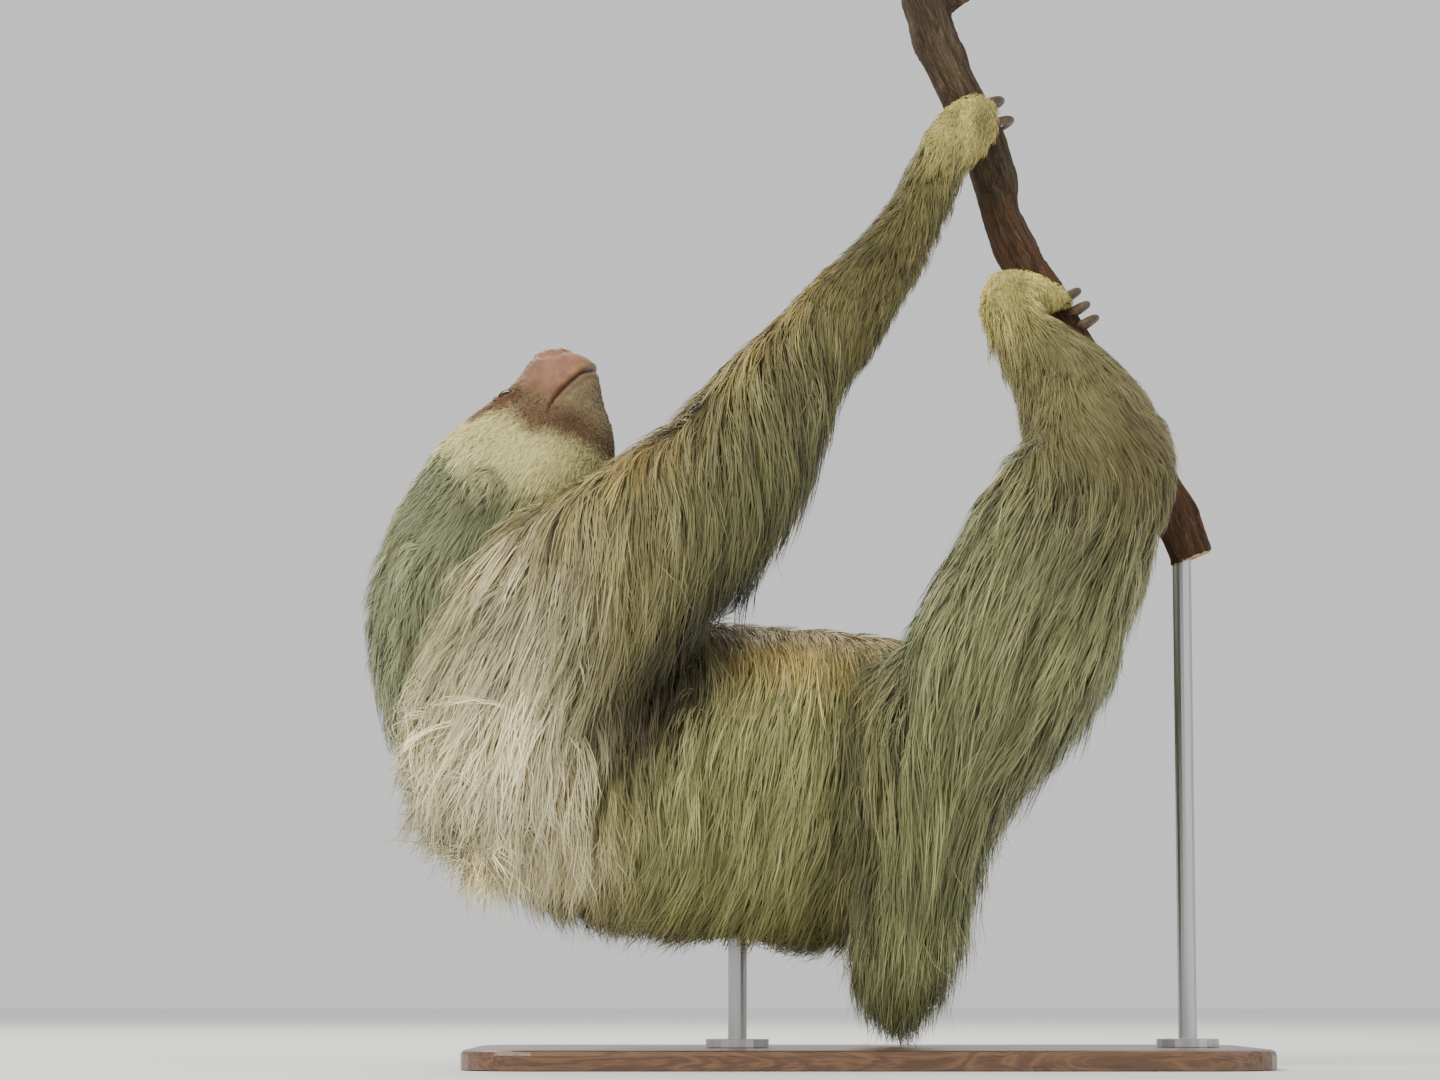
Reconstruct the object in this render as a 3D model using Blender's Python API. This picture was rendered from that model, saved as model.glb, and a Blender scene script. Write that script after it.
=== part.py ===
"""A two-toed sloth reclining on its back, life size, gripping a sloping branch with one hand and both feet.

The frame: X runs from the animal's head (-X) to its rump (+X), Y from its right side (-Y) to its left (+Y),
Z up. The belly faces up. Every solid of the animal reaches out to the tips of its coat.
The body is made as three kinds of smooth form: one long loft from nose to rump, one loft for each limb, and
bent claws. The lofts are then parted by thin cuts where a person would name the parts.
"""

import math

import bmesh
import bpy
from mathutils import Matrix, Vector

# ---- driving dimensions, in metres ----
GAP = 0.0003                 # clearance between neighbouring solids
CUT = 0.0005                 # thickness of the cuts that part the body
RING_SIDES = 24              # points round a loft
RING_STEP = 0.008            # spacing of the rings along a loft

BASE_SIZE = Vector((0.50, 0.27, 0.012))
BASE_CENTRE = Vector((0.060, 0.004, 0.024))
BASE_CORNER = 0.045
ROD_RADIUS = 0.006
FLANGE_RADIUS = 0.020
FLANGE_HEIGHT = 0.005
ROD_IN_BODY = Vector((-0.020, 0.0, 0.135))   # top of the rod inside the back

BRANCH_RADIUS = 0.0150
BRANCH_Y = 0.014
BRANCH_STEP = 0.020
BRANCH_SIDES = 10

HEAD_PITCH = math.radians(60)    # the face looks up and towards the feet
HEAD_ROLL = math.radians(10)     # the crown leans to the animal's left
NOSE_POINT = Vector((-0.1209, 0.004, 0.4712))

EYE_RADIUS = 0.0062
EYE_AT = (0.0470, 0.0250, 0.0228)        # on the coat's surface: back, sideways, up
EYE_OUT = Vector((0.50, 0.66, 0.56))     # the way it looks: forwards, sideways, up
EYE_SINK = 0.0026                # how far its centre lies under the coat's surface
EAR_AT = (0.1085, 0.0560, -0.0030)
EAR_SHELL = (0.0110, 0.0050, 0.0120)     # half lengths: along the head, outwards, up
EAR_BOWL = (0.0075, 0.0050, 0.0085)
EAR_LEAN = 0.35
CLAW_GIRTH = (0.0046, 0.0034)    # half height and half width of a claw at its root
CLAW_STEPS = 8                   # lengths from root to tip
CLAW_CLEARANCE = 0.0022          # between a claw and the branch's mean surface
CLAW_RADIUS = BRANCH_RADIUS + CLAW_GIRTH[0] + CLAW_CLEARANCE
CLAW_SWEEP = {"hand": 2.75, "foot": 2.6}         # how far a claw reaches round the branch, in radians
CLAW_SPREAD = {"hand": (-0.0072, 0.0072), "foot": (-0.0105, 0.0, 0.0105)}
CLAW_INSET = 0.30                # radians of it that lie inside the digit
LOOSE_CLAW = {"radius": 0.026, "sweep": 1.9}     # the resting hand's claws, which hold nothing
NOSE_SIZE = Vector((0.0055, 0.0150, 0.0110))   # half depth, half width and half height of the bare nose
NOSE_AT = (0.0078, 0.0, 0.0160)  # back, sideways, up
NOSE_TILT = math.radians(36)     # how far the nose faces up from straight forwards

# ---- landmarks: (x, y, z), half thickness across the limb, half thickness from side to side ----
TRUNK = [
    ((-0.1798, 0.004, 0.3410), 0.073, 0.061),    # nape and throat
    ((-0.1810, 0.003, 0.3069), 0.079, 0.069),
    ((-0.1643, 0.000, 0.2666), 0.090, 0.081),    # between the shoulders
    ((-0.1302, 0.000, 0.2325), 0.101, 0.090),
    ((-0.0806, 0.000, 0.2096), 0.106, 0.095),    # chest
    ((-0.0248, 0.000, 0.1972), 0.107, 0.096),
    ((0.0372, 0.000, 0.1947), 0.106, 0.096),     # belly
    ((0.0850, 0.000, 0.1860), 0.099, 0.092),
    ((0.1180, 0.000, 0.1690), 0.078, 0.072),     # rump
    ((0.1370, 0.000, 0.1540), 0.040, 0.036),
]
HEAD = [  # back from the nose, up, half height, half width, all in the head's own frame
    (-0.0025, -0.0030, 0.0060, 0.0070),
    (0.0000, -0.0010, 0.0118, 0.0125),
    (0.0040, 0.0012, 0.0168, 0.0172),
    (0.0090, 0.0027, 0.0218, 0.0208),
    (0.0145, 0.0027, 0.0262, 0.0230),           # muzzle
    (0.0220, -0.0012, 0.0298, 0.0248),
    (0.0310, -0.0070, 0.0352, 0.0272),
    (0.0400, -0.0093, 0.0397, 0.0325),
    (0.0500, -0.0098, 0.0450, 0.0405),           # brow and cheeks
    (0.0740, -0.0100, 0.0552, 0.0520),
    (0.1050, -0.0088, 0.0625, 0.0580),           # crown
]
ARM_RIGHT = [
    ((0.1455, 0.0000, 0.6320), 0.0105, 0.0080),
    ((0.1385, -0.0120, 0.6290), 0.0180, 0.0130),  # knuckles
    ((0.1265, -0.0190, 0.6165), 0.0205, 0.0160),
    ((0.1116, -0.0260, 0.5970), 0.0200, 0.0180),  # wrist
    ((0.0845, -0.0400, 0.5415), 0.0215, 0.0210),
    ((0.0459, -0.0500, 0.4898), 0.0310, 0.0270),  # elbow
    ((0.0087, -0.0580, 0.4433), 0.0415, 0.0330),
    ((-0.0298, -0.0660, 0.3832), 0.0540, 0.0400),
    ((-0.0744, -0.0750, 0.3410), 0.0650, 0.0470),  # shoulder
    ((-0.1376, -0.0830, 0.2914), 0.0650, 0.0440),
    ((-0.1736, -0.0830, 0.2139), 0.0640, 0.0360),
    ((-0.1690, -0.0800, 0.1612), 0.0400, 0.0270),
    ((-0.1620, -0.0780, 0.1300), 0.0140, 0.0110),  # tips of the shoulder's long hair
]
ARM_LEFT = [
    ((-0.1250, 0.0350, 0.2850), 0.0420, 0.0350),
    ((-0.1080, 0.0700, 0.2720), 0.0500, 0.0400),   # shoulder
    ((-0.0950, 0.0960, 0.2300), 0.0450, 0.0370),
    ((-0.0820, 0.1060, 0.1850), 0.0380, 0.0320),
    ((-0.0650, 0.1120, 0.1480), 0.0340, 0.0300),   # elbow
    ((-0.0180, 0.1180, 0.1580), 0.0300, 0.0275),
    ((0.0200, 0.1180, 0.1950), 0.0250, 0.0240),
    ((0.0480, 0.1150, 0.2360), 0.0210, 0.0185),    # wrist
    ((0.0600, 0.1110, 0.2580), 0.0220, 0.0165),
    ((0.0680, 0.1070, 0.2720), 0.0185, 0.0135),
    ((0.0730, 0.1050, 0.2800), 0.0090, 0.0075),
]
LEG_RIGHT = [
    ((0.1990, -0.0030, 0.5030), 0.0060, 0.0055),
    ((0.1870, -0.0120, 0.5095), 0.0090, 0.0080),   # toes
    ((0.1705, -0.0190, 0.5105), 0.0140, 0.0125),
    ((0.1540, -0.0260, 0.5080), 0.0205, 0.0180),   # heel
    ((0.1610, -0.0370, 0.4800), 0.0235, 0.0205),
    ((0.1900, -0.0560, 0.4420), 0.0370, 0.0300),
    ((0.2046, -0.0800, 0.3906), 0.0510, 0.0400),   # knee
    ((0.1780, -0.0850, 0.3390), 0.0630, 0.0460),
    ((0.1540, -0.0840, 0.2840), 0.0650, 0.0500),
    ((0.1128, -0.0800, 0.2220), 0.0560, 0.0480),   # hip
    ((0.0949, -0.0740, 0.1674), 0.0445, 0.0420),
    ((0.0868, -0.0700, 0.1116), 0.0395, 0.0360),
    ((0.0800, -0.0660, 0.0640), 0.0330, 0.0270),
    ((0.0770, -0.0640, 0.0370), 0.0130, 0.0110),   # tips of the haunch's long hair
]
LEG_LEFT = [
    ((0.2000, 0.0300, 0.4560), 0.0100, 0.0080),
    ((0.2090, 0.0390, 0.4500), 0.0160, 0.0110),    # toes
    ((0.2290, 0.0470, 0.4370), 0.0185, 0.0150),
    ((0.2350, 0.0560, 0.4150), 0.0210, 0.0190),    # heel
    ((0.2290, 0.0720, 0.3880), 0.0270, 0.0240),
    ((0.2170, 0.0880, 0.3500), 0.0410, 0.0370),    # knee
    ((0.1890, 0.0900, 0.3080), 0.0540, 0.0440),
    ((0.1570, 0.0880, 0.2640), 0.0580, 0.0480),
    ((0.1180, 0.0830, 0.2140), 0.0530, 0.0460),    # hip
    ((0.0980, 0.0760, 0.1600), 0.0430, 0.0400),
    ((0.0890, 0.0710, 0.1060), 0.0370, 0.0340),
    ((0.0830, 0.0670, 0.0650), 0.0300, 0.0260),
    ((0.0800, 0.0650, 0.0400), 0.0130, 0.0110),
]
BRANCH = [
    (0.1011, BRANCH_Y, 0.7160),
    (0.1104, BRANCH_Y, 0.6837),
    (0.1240, BRANCH_Y, 0.6527),
    (0.1415, BRANCH_Y, 0.6155),
    (0.1482, BRANCH_Y, 0.5907),
    (0.1519, BRANCH_Y, 0.5678),
    (0.1600, BRANCH_Y, 0.5490),
    (0.1705, BRANCH_Y, 0.5287),
    (0.1860, BRANCH_Y, 0.5008),
    (0.2034, BRANCH_Y, 0.4741),
    (0.2232, BRANCH_Y, 0.4419),
    (0.2449, BRANCH_Y, 0.4047),
    (0.2635, BRANCH_Y, 0.3706),
    (0.2740, BRANCH_Y, 0.3427),
]

for old in list(bpy.data.objects):
    bpy.data.objects.remove(old)


# ---- materials ----
def material(name, colour, roughness, metallic=0.0):
    made = bpy.data.materials.new(name)
    made.use_nodes = True
    shader = made.node_tree.nodes["Principled BSDF"]
    shader.inputs["Base Color"].default_value = (*colour, 1.0)
    shader.inputs["Roughness"].default_value = roughness
    shader.inputs["Metallic"].default_value = metallic
    return made


CREAM_FUR = material("cream_fur", (0.62, 0.56, 0.38), 0.8)
TAN_FUR = material("tan_fur", (0.36, 0.29, 0.19), 0.8)
STRAW_FUR = material("straw_fur", (0.47, 0.41, 0.26), 0.8)
BARE_SKIN = material("bare_skin", (0.34, 0.20, 0.15), 0.5)
HORN = material("horn", (0.16, 0.12, 0.09), 0.35)
EYE = material("eye", (0.03, 0.015, 0.01), 0.05)
BARK = material("bark", (0.13, 0.08, 0.06), 0.85)
STAND_WOOD = material("stand_wood", (0.05, 0.045, 0.04), 0.45)
STAND_STEEL = material("stand_steel", (0.35, 0.35, 0.36), 0.35, 1.0)


# ---- mesh helpers ----
def evaluated(mesh, *settings):
    """A copy of the mesh after modifiers, each given as (type, {property: value})."""
    holder = bpy.data.objects.new("holder", mesh)
    bpy.context.scene.collection.objects.link(holder)
    for kind, values in settings:
        modifier = holder.modifiers.new(kind.lower(), kind)
        for key, value in values.items():
            setattr(modifier, key, value)
    bpy.context.view_layer.update()
    graph = bpy.context.evaluated_depsgraph_get()
    made = bpy.data.meshes.new_from_object(holder.evaluated_get(graph))
    bpy.data.objects.remove(holder)
    return made


def boolean(mesh, cutter):
    """The mesh with the cutter's volume taken away."""
    tool = bpy.data.objects.new("tool", cutter)
    bpy.context.scene.collection.objects.link(tool)
    made = evaluated(mesh, ("BOOLEAN", {"operation": "DIFFERENCE", "solver": "EXACT", "object": tool}))
    bpy.data.objects.remove(tool)
    return made


def joined(meshes):
    """One mesh that holds all of these, with nothing merged."""
    work = bmesh.new()
    for mesh in meshes:
        work.from_mesh(mesh)
    made = bpy.data.meshes.new("joined")
    work.to_mesh(made)
    work.free()
    return made


def grown(mesh, distance):
    """The mesh moved out along its normals, as a cutter that leaves a clearance."""
    work = bmesh.new()
    work.from_mesh(mesh)
    work.normal_update()
    moved = [v.co + v.normal * distance for v in work.verts]
    for vertex, place in zip(work.verts, moved):
        vertex.co = place
    made = bpy.data.meshes.new("grown")
    work.to_mesh(made)
    work.free()
    return made


def spline(rows, t):
    """Catmull-Rom value at t, where whole numbers are the rows, each a list of numbers."""
    i = min(int(t), len(rows) - 2)
    u = t - i
    p = [rows[max(0, min(len(rows) - 1, i + k))] for k in (-1, 0, 1, 2)]
    return [
        0.5 * (2 * b + (c - a) * u + (2 * a - 5 * b + 4 * c - d) * u * u + (3 * b - a - 3 * c + d) * u ** 3)
        for a, b, c, d in zip(*p)
    ]


def fine_rows(rows, step):
    """Rows spaced about a step apart along the spline through the rows' first three numbers."""
    found = []
    for i in range(len(rows) - 1):
        length = (Vector(rows[i + 1][:3]) - Vector(rows[i][:3])).length
        count = max(1, round(length / step))
        found += [spline(rows, i + k / count) for k in range(count)]
    return found + [list(rows[-1])]


def loft(rows, side=Vector((0, 1, 0)), sides=RING_SIDES):
    """A closed tube of elliptical rings. A row is x, y, z, half across and half side to side.

    A row may add a roll, and the direction its ring faces instead of the way to the next row.
    """
    work = bmesh.new()
    rings = []
    places = [Vector(row[:3]) for row in rows]
    for i, row in enumerate(rows):
        tangent = (places[min(i + 1, len(rows) - 1)] - places[max(i - 1, 0)]).normalized()
        if len(row) > 6:
            tangent = Vector(row[6:9]).normalized()
        depth = (side - tangent * side.dot(tangent)).normalized()
        if len(row) > 5:
            depth = Matrix.Rotation(row[5], 3, tangent) @ depth
        across = depth.cross(tangent)
        ring = []
        for k in range(sides):
            angle = 2 * math.pi * k / sides
            c, s = math.cos(angle), math.sin(angle)
            ring.append(work.verts.new(places[i] + across * (row[3] * c) + depth * (row[4] * s)))
        rings.append(ring)
    for low, high in zip(rings, rings[1:]):
        for k in range(sides):
            n = (k + 1) % sides
            work.faces.new((low[k], low[n], high[n], high[k]))
    work.faces.new(rings[0][::-1])
    work.faces.new(rings[-1])
    bmesh.ops.recalc_face_normals(work, faces=work.faces)
    made = bpy.data.meshes.new("loft")
    work.to_mesh(made)
    work.free()
    return made


def ball(centre, half, turn=Matrix.Identity(3), segments=16, rings=10):
    work = bmesh.new()
    bmesh.ops.create_uvsphere(work, u_segments=segments, v_segments=rings, radius=1.0)
    bmesh.ops.scale(work, vec=Vector(half), verts=work.verts)
    bmesh.ops.rotate(work, cent=Vector(), matrix=turn, verts=work.verts)
    bmesh.ops.translate(work, vec=Vector(centre), verts=work.verts)
    made = bpy.data.meshes.new("ball")
    work.to_mesh(made)
    work.free()
    return made


def disc(centre, normal, radius, thickness=CUT, sides=32):
    """A thin round plate that parts a limb."""
    work = bmesh.new()
    bmesh.ops.create_cone(
        work, cap_ends=True, segments=sides, radius1=radius, radius2=radius, depth=thickness
    )
    turn = Vector(normal).normalized().to_track_quat("Z", "Y").to_matrix()
    bmesh.ops.rotate(work, cent=Vector(), matrix=turn, verts=work.verts)
    bmesh.ops.translate(work, vec=Vector(centre), verts=work.verts)
    made = bpy.data.meshes.new("disc")
    work.to_mesh(made)
    work.free()
    return made


def cylinder(low, high, radius, sides=18):
    low, high = Vector(low), Vector(high)
    return disc((low + high) / 2, high - low, radius, (high - low).length, sides)


def islands(mesh):
    """The mesh's separate closed bodies, as meshes."""
    work = bmesh.new()
    work.from_mesh(mesh)
    work.verts.ensure_lookup_table()
    seen, found = set(), []
    for start in work.verts:
        if start.index in seen:
            continue
        group, queue = [], [start]
        seen.add(start.index)
        while queue:
            vertex = queue.pop()
            group.append(vertex.index)
            for edge in vertex.link_edges:
                other = edge.other_vert(vertex)
                if other.index not in seen:
                    seen.add(other.index)
                    queue.append(other)
        found.append(set(group))
    made = []
    for group in found:
        part = work.copy()
        part.verts.ensure_lookup_table()
        others = [v for v in part.verts if v.index not in group]
        bmesh.ops.delete(part, geom=others, context="VERTS")
        mesh_part = bpy.data.meshes.new("island")
        part.to_mesh(mesh_part)
        part.free()
        made.append(mesh_part)
    work.free()
    return made


def volume(mesh):
    work = bmesh.new()
    work.from_mesh(mesh)
    found = work.calc_volume(signed=False)
    work.free()
    return found


def middle(mesh):
    total = Vector()
    for vertex in mesh.vertices:
        total += vertex.co
    return total / len(mesh.vertices)


def smooth_form(meshes, voxel, triangles, rounds=4):
    """The union of overlapping forms as one soft surface of about that many triangles."""
    soft = evaluated(
        joined(meshes),
        ("REMESH", {"mode": "VOXEL", "voxel_size": voxel}),
        ("SMOOTH", {"factor": 0.5, "iterations": rounds}),
        ("TRIANGULATE", {}),
    )
    share = min(1.0, triangles / len(soft.polygons))
    return evaluated(soft, ("DECIMATE", {"ratio": share}))


parts = {}          # name: (mesh, material)


def keep(name, mesh, finish):
    parts[name] = (mesh, finish)


def keep_islands(mesh, names, finishes):
    """Names the largest islands of a parted form by their nearest landmark."""
    pieces = sorted(islands(mesh), key=volume, reverse=True)[: len(names)]
    left = dict(names)
    for piece in pieces:
        centre = middle(piece)
        name = min(left, key=lambda n: (Vector(left[n]) - centre).length)
        keep(name, piece, finishes[name])
        del left[name]


# ---- the head's frame ----
forward = Vector((math.cos(HEAD_PITCH), 0, math.sin(HEAD_PITCH)))
crown = Vector((-math.sin(HEAD_PITCH), 0, math.cos(HEAD_PITCH)))
across_y = Vector((0, 1, 0))
head_up = crown * math.cos(HEAD_ROLL) + across_y * math.sin(HEAD_ROLL)
head_left = across_y * math.cos(HEAD_ROLL) - crown * math.sin(HEAD_ROLL)
head_turn = Matrix((forward, head_left, head_up)).transposed()


nose_turn = Matrix.Rotation(-NOSE_TILT, 3, head_left) @ head_turn


def in_head(back, left, up):
    """A place in the head: metres behind the nose, to the animal's left and towards its crown."""
    return NOSE_POINT - forward * back + head_left * left + head_up * up


# ---- nose to rump ----
def trunk_direction(i):
    return (Vector(TRUNK[min(i + 1, len(TRUNK) - 1)][0]) - Vector(TRUNK[max(i - 1, 0)][0])).normalized()


axial_rows = [
    [*in_head(back, 0, up), half_up, half_wide, HEAD_ROLL, *(-forward)]
    for back, up, half_up, half_wide in HEAD
] + [
    [*place, across, deep, 0.0, *trunk_direction(i)] for i, (place, across, deep) in enumerate(TRUNK)
]

# The head and the trunk come from one loft, made finer for the head, and part at a plane across the throat.
THROAT = len(HEAD)               # the row where they part
throat_place = Vector(axial_rows[THROAT][:3])
throat_normal = (throat_place - Vector(axial_rows[THROAT - 1][:3])).normalized()


def throat_block(side):
    """A thick round block that ends at the throat's plane, on the trunk's side (1) or the head's (-1)."""
    thick = 0.16
    return disc(throat_place + throat_normal * (side * (thick - CUT) / 2), throat_normal, 0.14, thick)


head_loft = loft(fine_rows(axial_rows[: THROAT + 3], RING_STEP))
trunk_loft = loft(fine_rows(axial_rows[THROAT - 2:], RING_STEP))
head_form = smooth_form([head_loft], 0.0030, 780, rounds=1)
trunk_form = smooth_form([trunk_loft], 0.0060, 600)
around_axis = (grown(head_form, GAP), grown(trunk_form, GAP))    # what the limbs are cut clear of
head_form = boolean(head_form, throat_block(1))
trunk_form = boolean(trunk_form, throat_block(-1))


# ---- limbs ----
def rows_of(landmarks):
    return [[*place, across, deep] for place, across, deep in landmarks]


def limb_form(landmarks, triangles):
    return smooth_form([loft(fine_rows(rows_of(landmarks), RING_STEP))], 0.0045, triangles)


def cut_across(landmarks, at, reach=1.9):
    """A thin plate across a limb, at a row of its landmarks or part of the way to the next."""
    rows = rows_of(landmarks)
    here = spline(rows, at)
    along = Vector(spline(rows, at + 0.3)[:3]) - Vector(spline(rows, at - 0.3)[:3])
    return disc(here[:3], along, max(here[3:5]) * reach)


LIMBS = {   # landmarks, triangles, cuts, and the part between each two cuts with its finish
    "arm_right": (ARM_RIGHT, 400, (3.0, 5.2, 7.6), ("hand", "forearm", "upper_arm", "shoulder")),
    "arm_left": (ARM_LEFT, 290, (2.1, 4.0, 7.0), ("shoulder", "upper_arm", "forearm", "hand")),
    "leg_right": (LEG_RIGHT, 420, (3.7, 6.2, 8.7), ("foot", "shank", "thigh", "haunch")),
    "leg_left": (LEG_LEFT, 330, (3.6, 5.2, 7.7), ("foot", "shank", "thigh", "haunch")),
}
PALE_PARTS = ("hand", "foot")

# ---- the branch and the claws round it ----
branch_rows = [[*place, BRANCH_RADIUS, BRANCH_RADIUS] for place in BRANCH]
branch_rows = fine_rows(branch_rows, BRANCH_STEP)
for i, row in enumerate(branch_rows):    # knots and swellings along the bark
    swelling = 0.0010 * math.sin(i * 1.3) + 0.0007 * math.sin(i * 2.9 + 1)
    row[3] += swelling
    row[4] += 0.0008 * math.cos(i * 1.9)
branch_mesh = loft(branch_rows, sides=BRANCH_SIDES)
branch_solid = grown(branch_mesh, GAP)


def branch_place(place):
    """The nearest point on the branch's centre line, and the line's direction there."""
    place = Vector(place)
    best = None
    for a, b in zip(BRANCH, BRANCH[1:]):
        a, b = Vector(a), Vector(b)
        share = max(0.0, min(1.0, (place - a).dot(b - a) / (b - a).length_squared))
        point = a + (b - a) * share
        if best is None or (place - point).length < (place - best[0]).length:
            best = (point, (b - a).normalized())
    return best


def claw_rows(place_at):
    """Rings that taper from the root to the point, at the places given for shares of the length."""
    rows = []
    for k in range(CLAW_STEPS + 1):
        share = k / CLAW_STEPS
        taper = 1 - 0.80 * share ** 1.6
        rows.append([*place_at(share), CLAW_GIRTH[0] * taper, CLAW_GIRTH[1] * taper])
    return rows


def hook(start, offset, sweep):
    """A claw round the branch. It starts inside the digit at start and turns about the branch's line."""
    axis_point, line = branch_place(start)
    outward = Vector(start) - axis_point
    outward = (outward - line * outward.dot(line)).normalized()

    def place_at(share):
        turned = Matrix.Rotation(CLAW_INSET - sweep * share, 3, line) @ outward
        return axis_point + line * offset + turned * CLAW_RADIUS

    return loft(claw_rows(place_at), side=line, sides=6)


def free_claw(root, direction, curl):
    """A claw that touches nothing, which bends from its direction towards curl."""
    root, direction, curl = Vector(root), Vector(direction).normalized(), Vector(curl)
    curl = (curl - direction * curl.dot(direction)).normalized()
    radius = LOOSE_CLAW["radius"]

    def place_at(share):
        angle = LOOSE_CLAW["sweep"] * share
        return root + direction * (math.sin(angle) * radius) + curl * ((1 - math.cos(angle)) * radius)

    return loft(claw_rows(place_at), side=direction.cross(curl), sides=6)


claws = {}
grips = (("hand", "right", ARM_RIGHT), ("foot", "right", LEG_RIGHT), ("foot", "left", LEG_LEFT))
for end, side, landmarks in grips:
    for number, offset in enumerate(CLAW_SPREAD[end], 1):
        claws[f"claw_{end}_{side}_{number}"] = hook(landmarks[0][0], offset, CLAW_SWEEP[end])
hand_line = Vector(ARM_LEFT[-1][0]) - Vector(ARM_LEFT[-4][0])
hand_side = hand_line.cross(Vector((0, 1, 0))).normalized()
for number, offset in enumerate(CLAW_SPREAD["hand"], 1):
    root = Vector(ARM_LEFT[-2][0]) + hand_side * offset
    claws[f"claw_hand_left_{number}"] = free_claw(root, hand_line, (0.25, -1, 0.1))
for name, mesh in claws.items():
    keep(name, mesh, HORN)

# ---- stand ----
base_top = BASE_CENTRE.z + BASE_SIZE.z / 2


def base_plate():
    work = bmesh.new()
    bmesh.ops.create_cube(work, size=1.0)
    bmesh.ops.scale(work, vec=BASE_SIZE, verts=work.verts)
    upright = [e for e in work.edges if abs(e.verts[0].co.z - e.verts[1].co.z) > BASE_SIZE.z / 2]
    bmesh.ops.bevel(work, geom=upright, offset=BASE_CORNER, segments=6, affect="EDGES", profile=0.5)
    rim = [e for e in work.edges if all(v.co.z > 0 for v in e.verts) and len(e.link_faces) == 2
           and {round(abs(f.normal.z)) for f in e.link_faces} == {0, 1}]
    bmesh.ops.bevel(work, geom=rim, offset=0.003, segments=2, affect="EDGES", profile=0.5)
    bmesh.ops.translate(work, vec=BASE_CENTRE, verts=work.verts)
    made = bpy.data.meshes.new("base")
    work.to_mesh(made)
    work.free()
    return made


branch_foot = Vector(BRANCH[-1])
perch_rod_top = branch_foot + (Vector(BRANCH[-2]) - branch_foot).normalized() * 0.020
rods = {"stand_rod_body": ROD_IN_BODY, "stand_rod_perch": perch_rod_top}
rod_solids = []
for name, top in rods.items():
    foot = Vector((top.x, top.y, base_top + FLANGE_HEIGHT + 2 * GAP))
    rod = cylinder(foot, top, ROD_RADIUS)
    keep(name, rod, STAND_STEEL)
    rod_solids.append(grown(rod, GAP))
    flange_foot = Vector((top.x, top.y, base_top + GAP))
    flange = cylinder(flange_foot, flange_foot + Vector((0, 0, FLANGE_HEIGHT)), FLANGE_RADIUS, 24)
    keep(name.replace("rod", "flange"), flange, STAND_STEEL)
keep("stand_base", base_plate(), STAND_WOOD)
keep("perch_branch", boolean(branch_mesh, rod_solids[1]), BARK)

# ---- limbs, cut clear of the trunk, the branch and their own claws, then parted ----
for limb, (landmarks, triangles, cuts, names) in LIMBS.items():
    side = limb.split("_")[1]
    form = limb_form(landmarks, triangles)
    for cutter in (*around_axis, branch_solid, *rod_solids):
        form = boolean(form, cutter)
    for name, claw in claws.items():
        end = "hand" if "arm" in limb else "foot"
        if f"{end}_{side}" in name:
            form = boolean(form, grown(claw, GAP))
    form = boolean(form, joined([cut_across(landmarks, at) for at in cuts]))
    rows = rows_of(landmarks)
    edges = (0.0, *cuts, len(landmarks) - 1.0)
    centres = {
        f"{name}_{side}": spline(rows, (low + high) / 2)[:3]
        for name, low, high in zip(names, edges, edges[1:])
    }
    finishes = {n: CREAM_FUR if n.split("_")[0] in PALE_PARTS else TAN_FUR for n in centres}
    keep_islands(form, centres, finishes)

# ---- trunk, in four lengths ----
trunk_rows = rows_of(TRUNK)
trunk_cuts = (1.9, 4.4, 6.6)
trunk_names = ("neck", "chest", "belly", "rump")
form = boolean(trunk_form, rod_solids[0])
form = boolean(form, joined([cut_across(TRUNK, at, 1.6) for at in trunk_cuts]))
edges = (0.0, *trunk_cuts, len(TRUNK) - 1.0)
centres = {
    name: spline(trunk_rows, (low + high) / 2)[:3]
    for name, low, high in zip(trunk_names, edges, edges[1:])
}
keep_islands(form, centres, {name: STRAW_FUR for name in trunk_names})

# ---- eyes, nose, ears and jaw ----
def eye(side):
    back, wide, up = EYE_AT
    outward = forward * EYE_OUT.x + head_left * (EYE_OUT.y * side) + head_up * EYE_OUT.z
    centre = in_head(back, wide * side, up) - outward.normalized() * EYE_SINK
    return ball(centre, (EYE_RADIUS,) * 3, head_turn, 12, 7)


def ear(side):
    """A small flat rounded ear, hollowed a little in front."""
    turn = Matrix.Rotation(-EAR_LEAN * side, 3, head_up) @ head_turn
    back, wide, up = EAR_AT
    shell = ball(in_head(back, wide * side, up), EAR_SHELL, turn, 10, 6)
    bowl = ball(in_head(back - 0.002, (wide + 0.0075) * side, up), EAR_BOWL, turn, 8, 5)
    return boolean(shell, bowl)


def nose_pad(extra=0.0):
    return ball(in_head(*NOSE_AT), [h + extra for h in NOSE_SIZE], nose_turn, 12, 7)


def nose():
    """The bare pad across the upper front of the muzzle, with two nostrils."""
    pad = nose_pad()
    front = in_head(*NOSE_AT) + nose_turn @ Vector((NOSE_SIZE.x, 0, -0.0015))
    for side in (-1, 1):
        nostril = ball(front + head_left * (0.0068 * side), (0.0035, 0.0026, 0.0030), nose_turn, 8, 5)
        pad = boolean(pad, nostril)
    return pad


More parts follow.
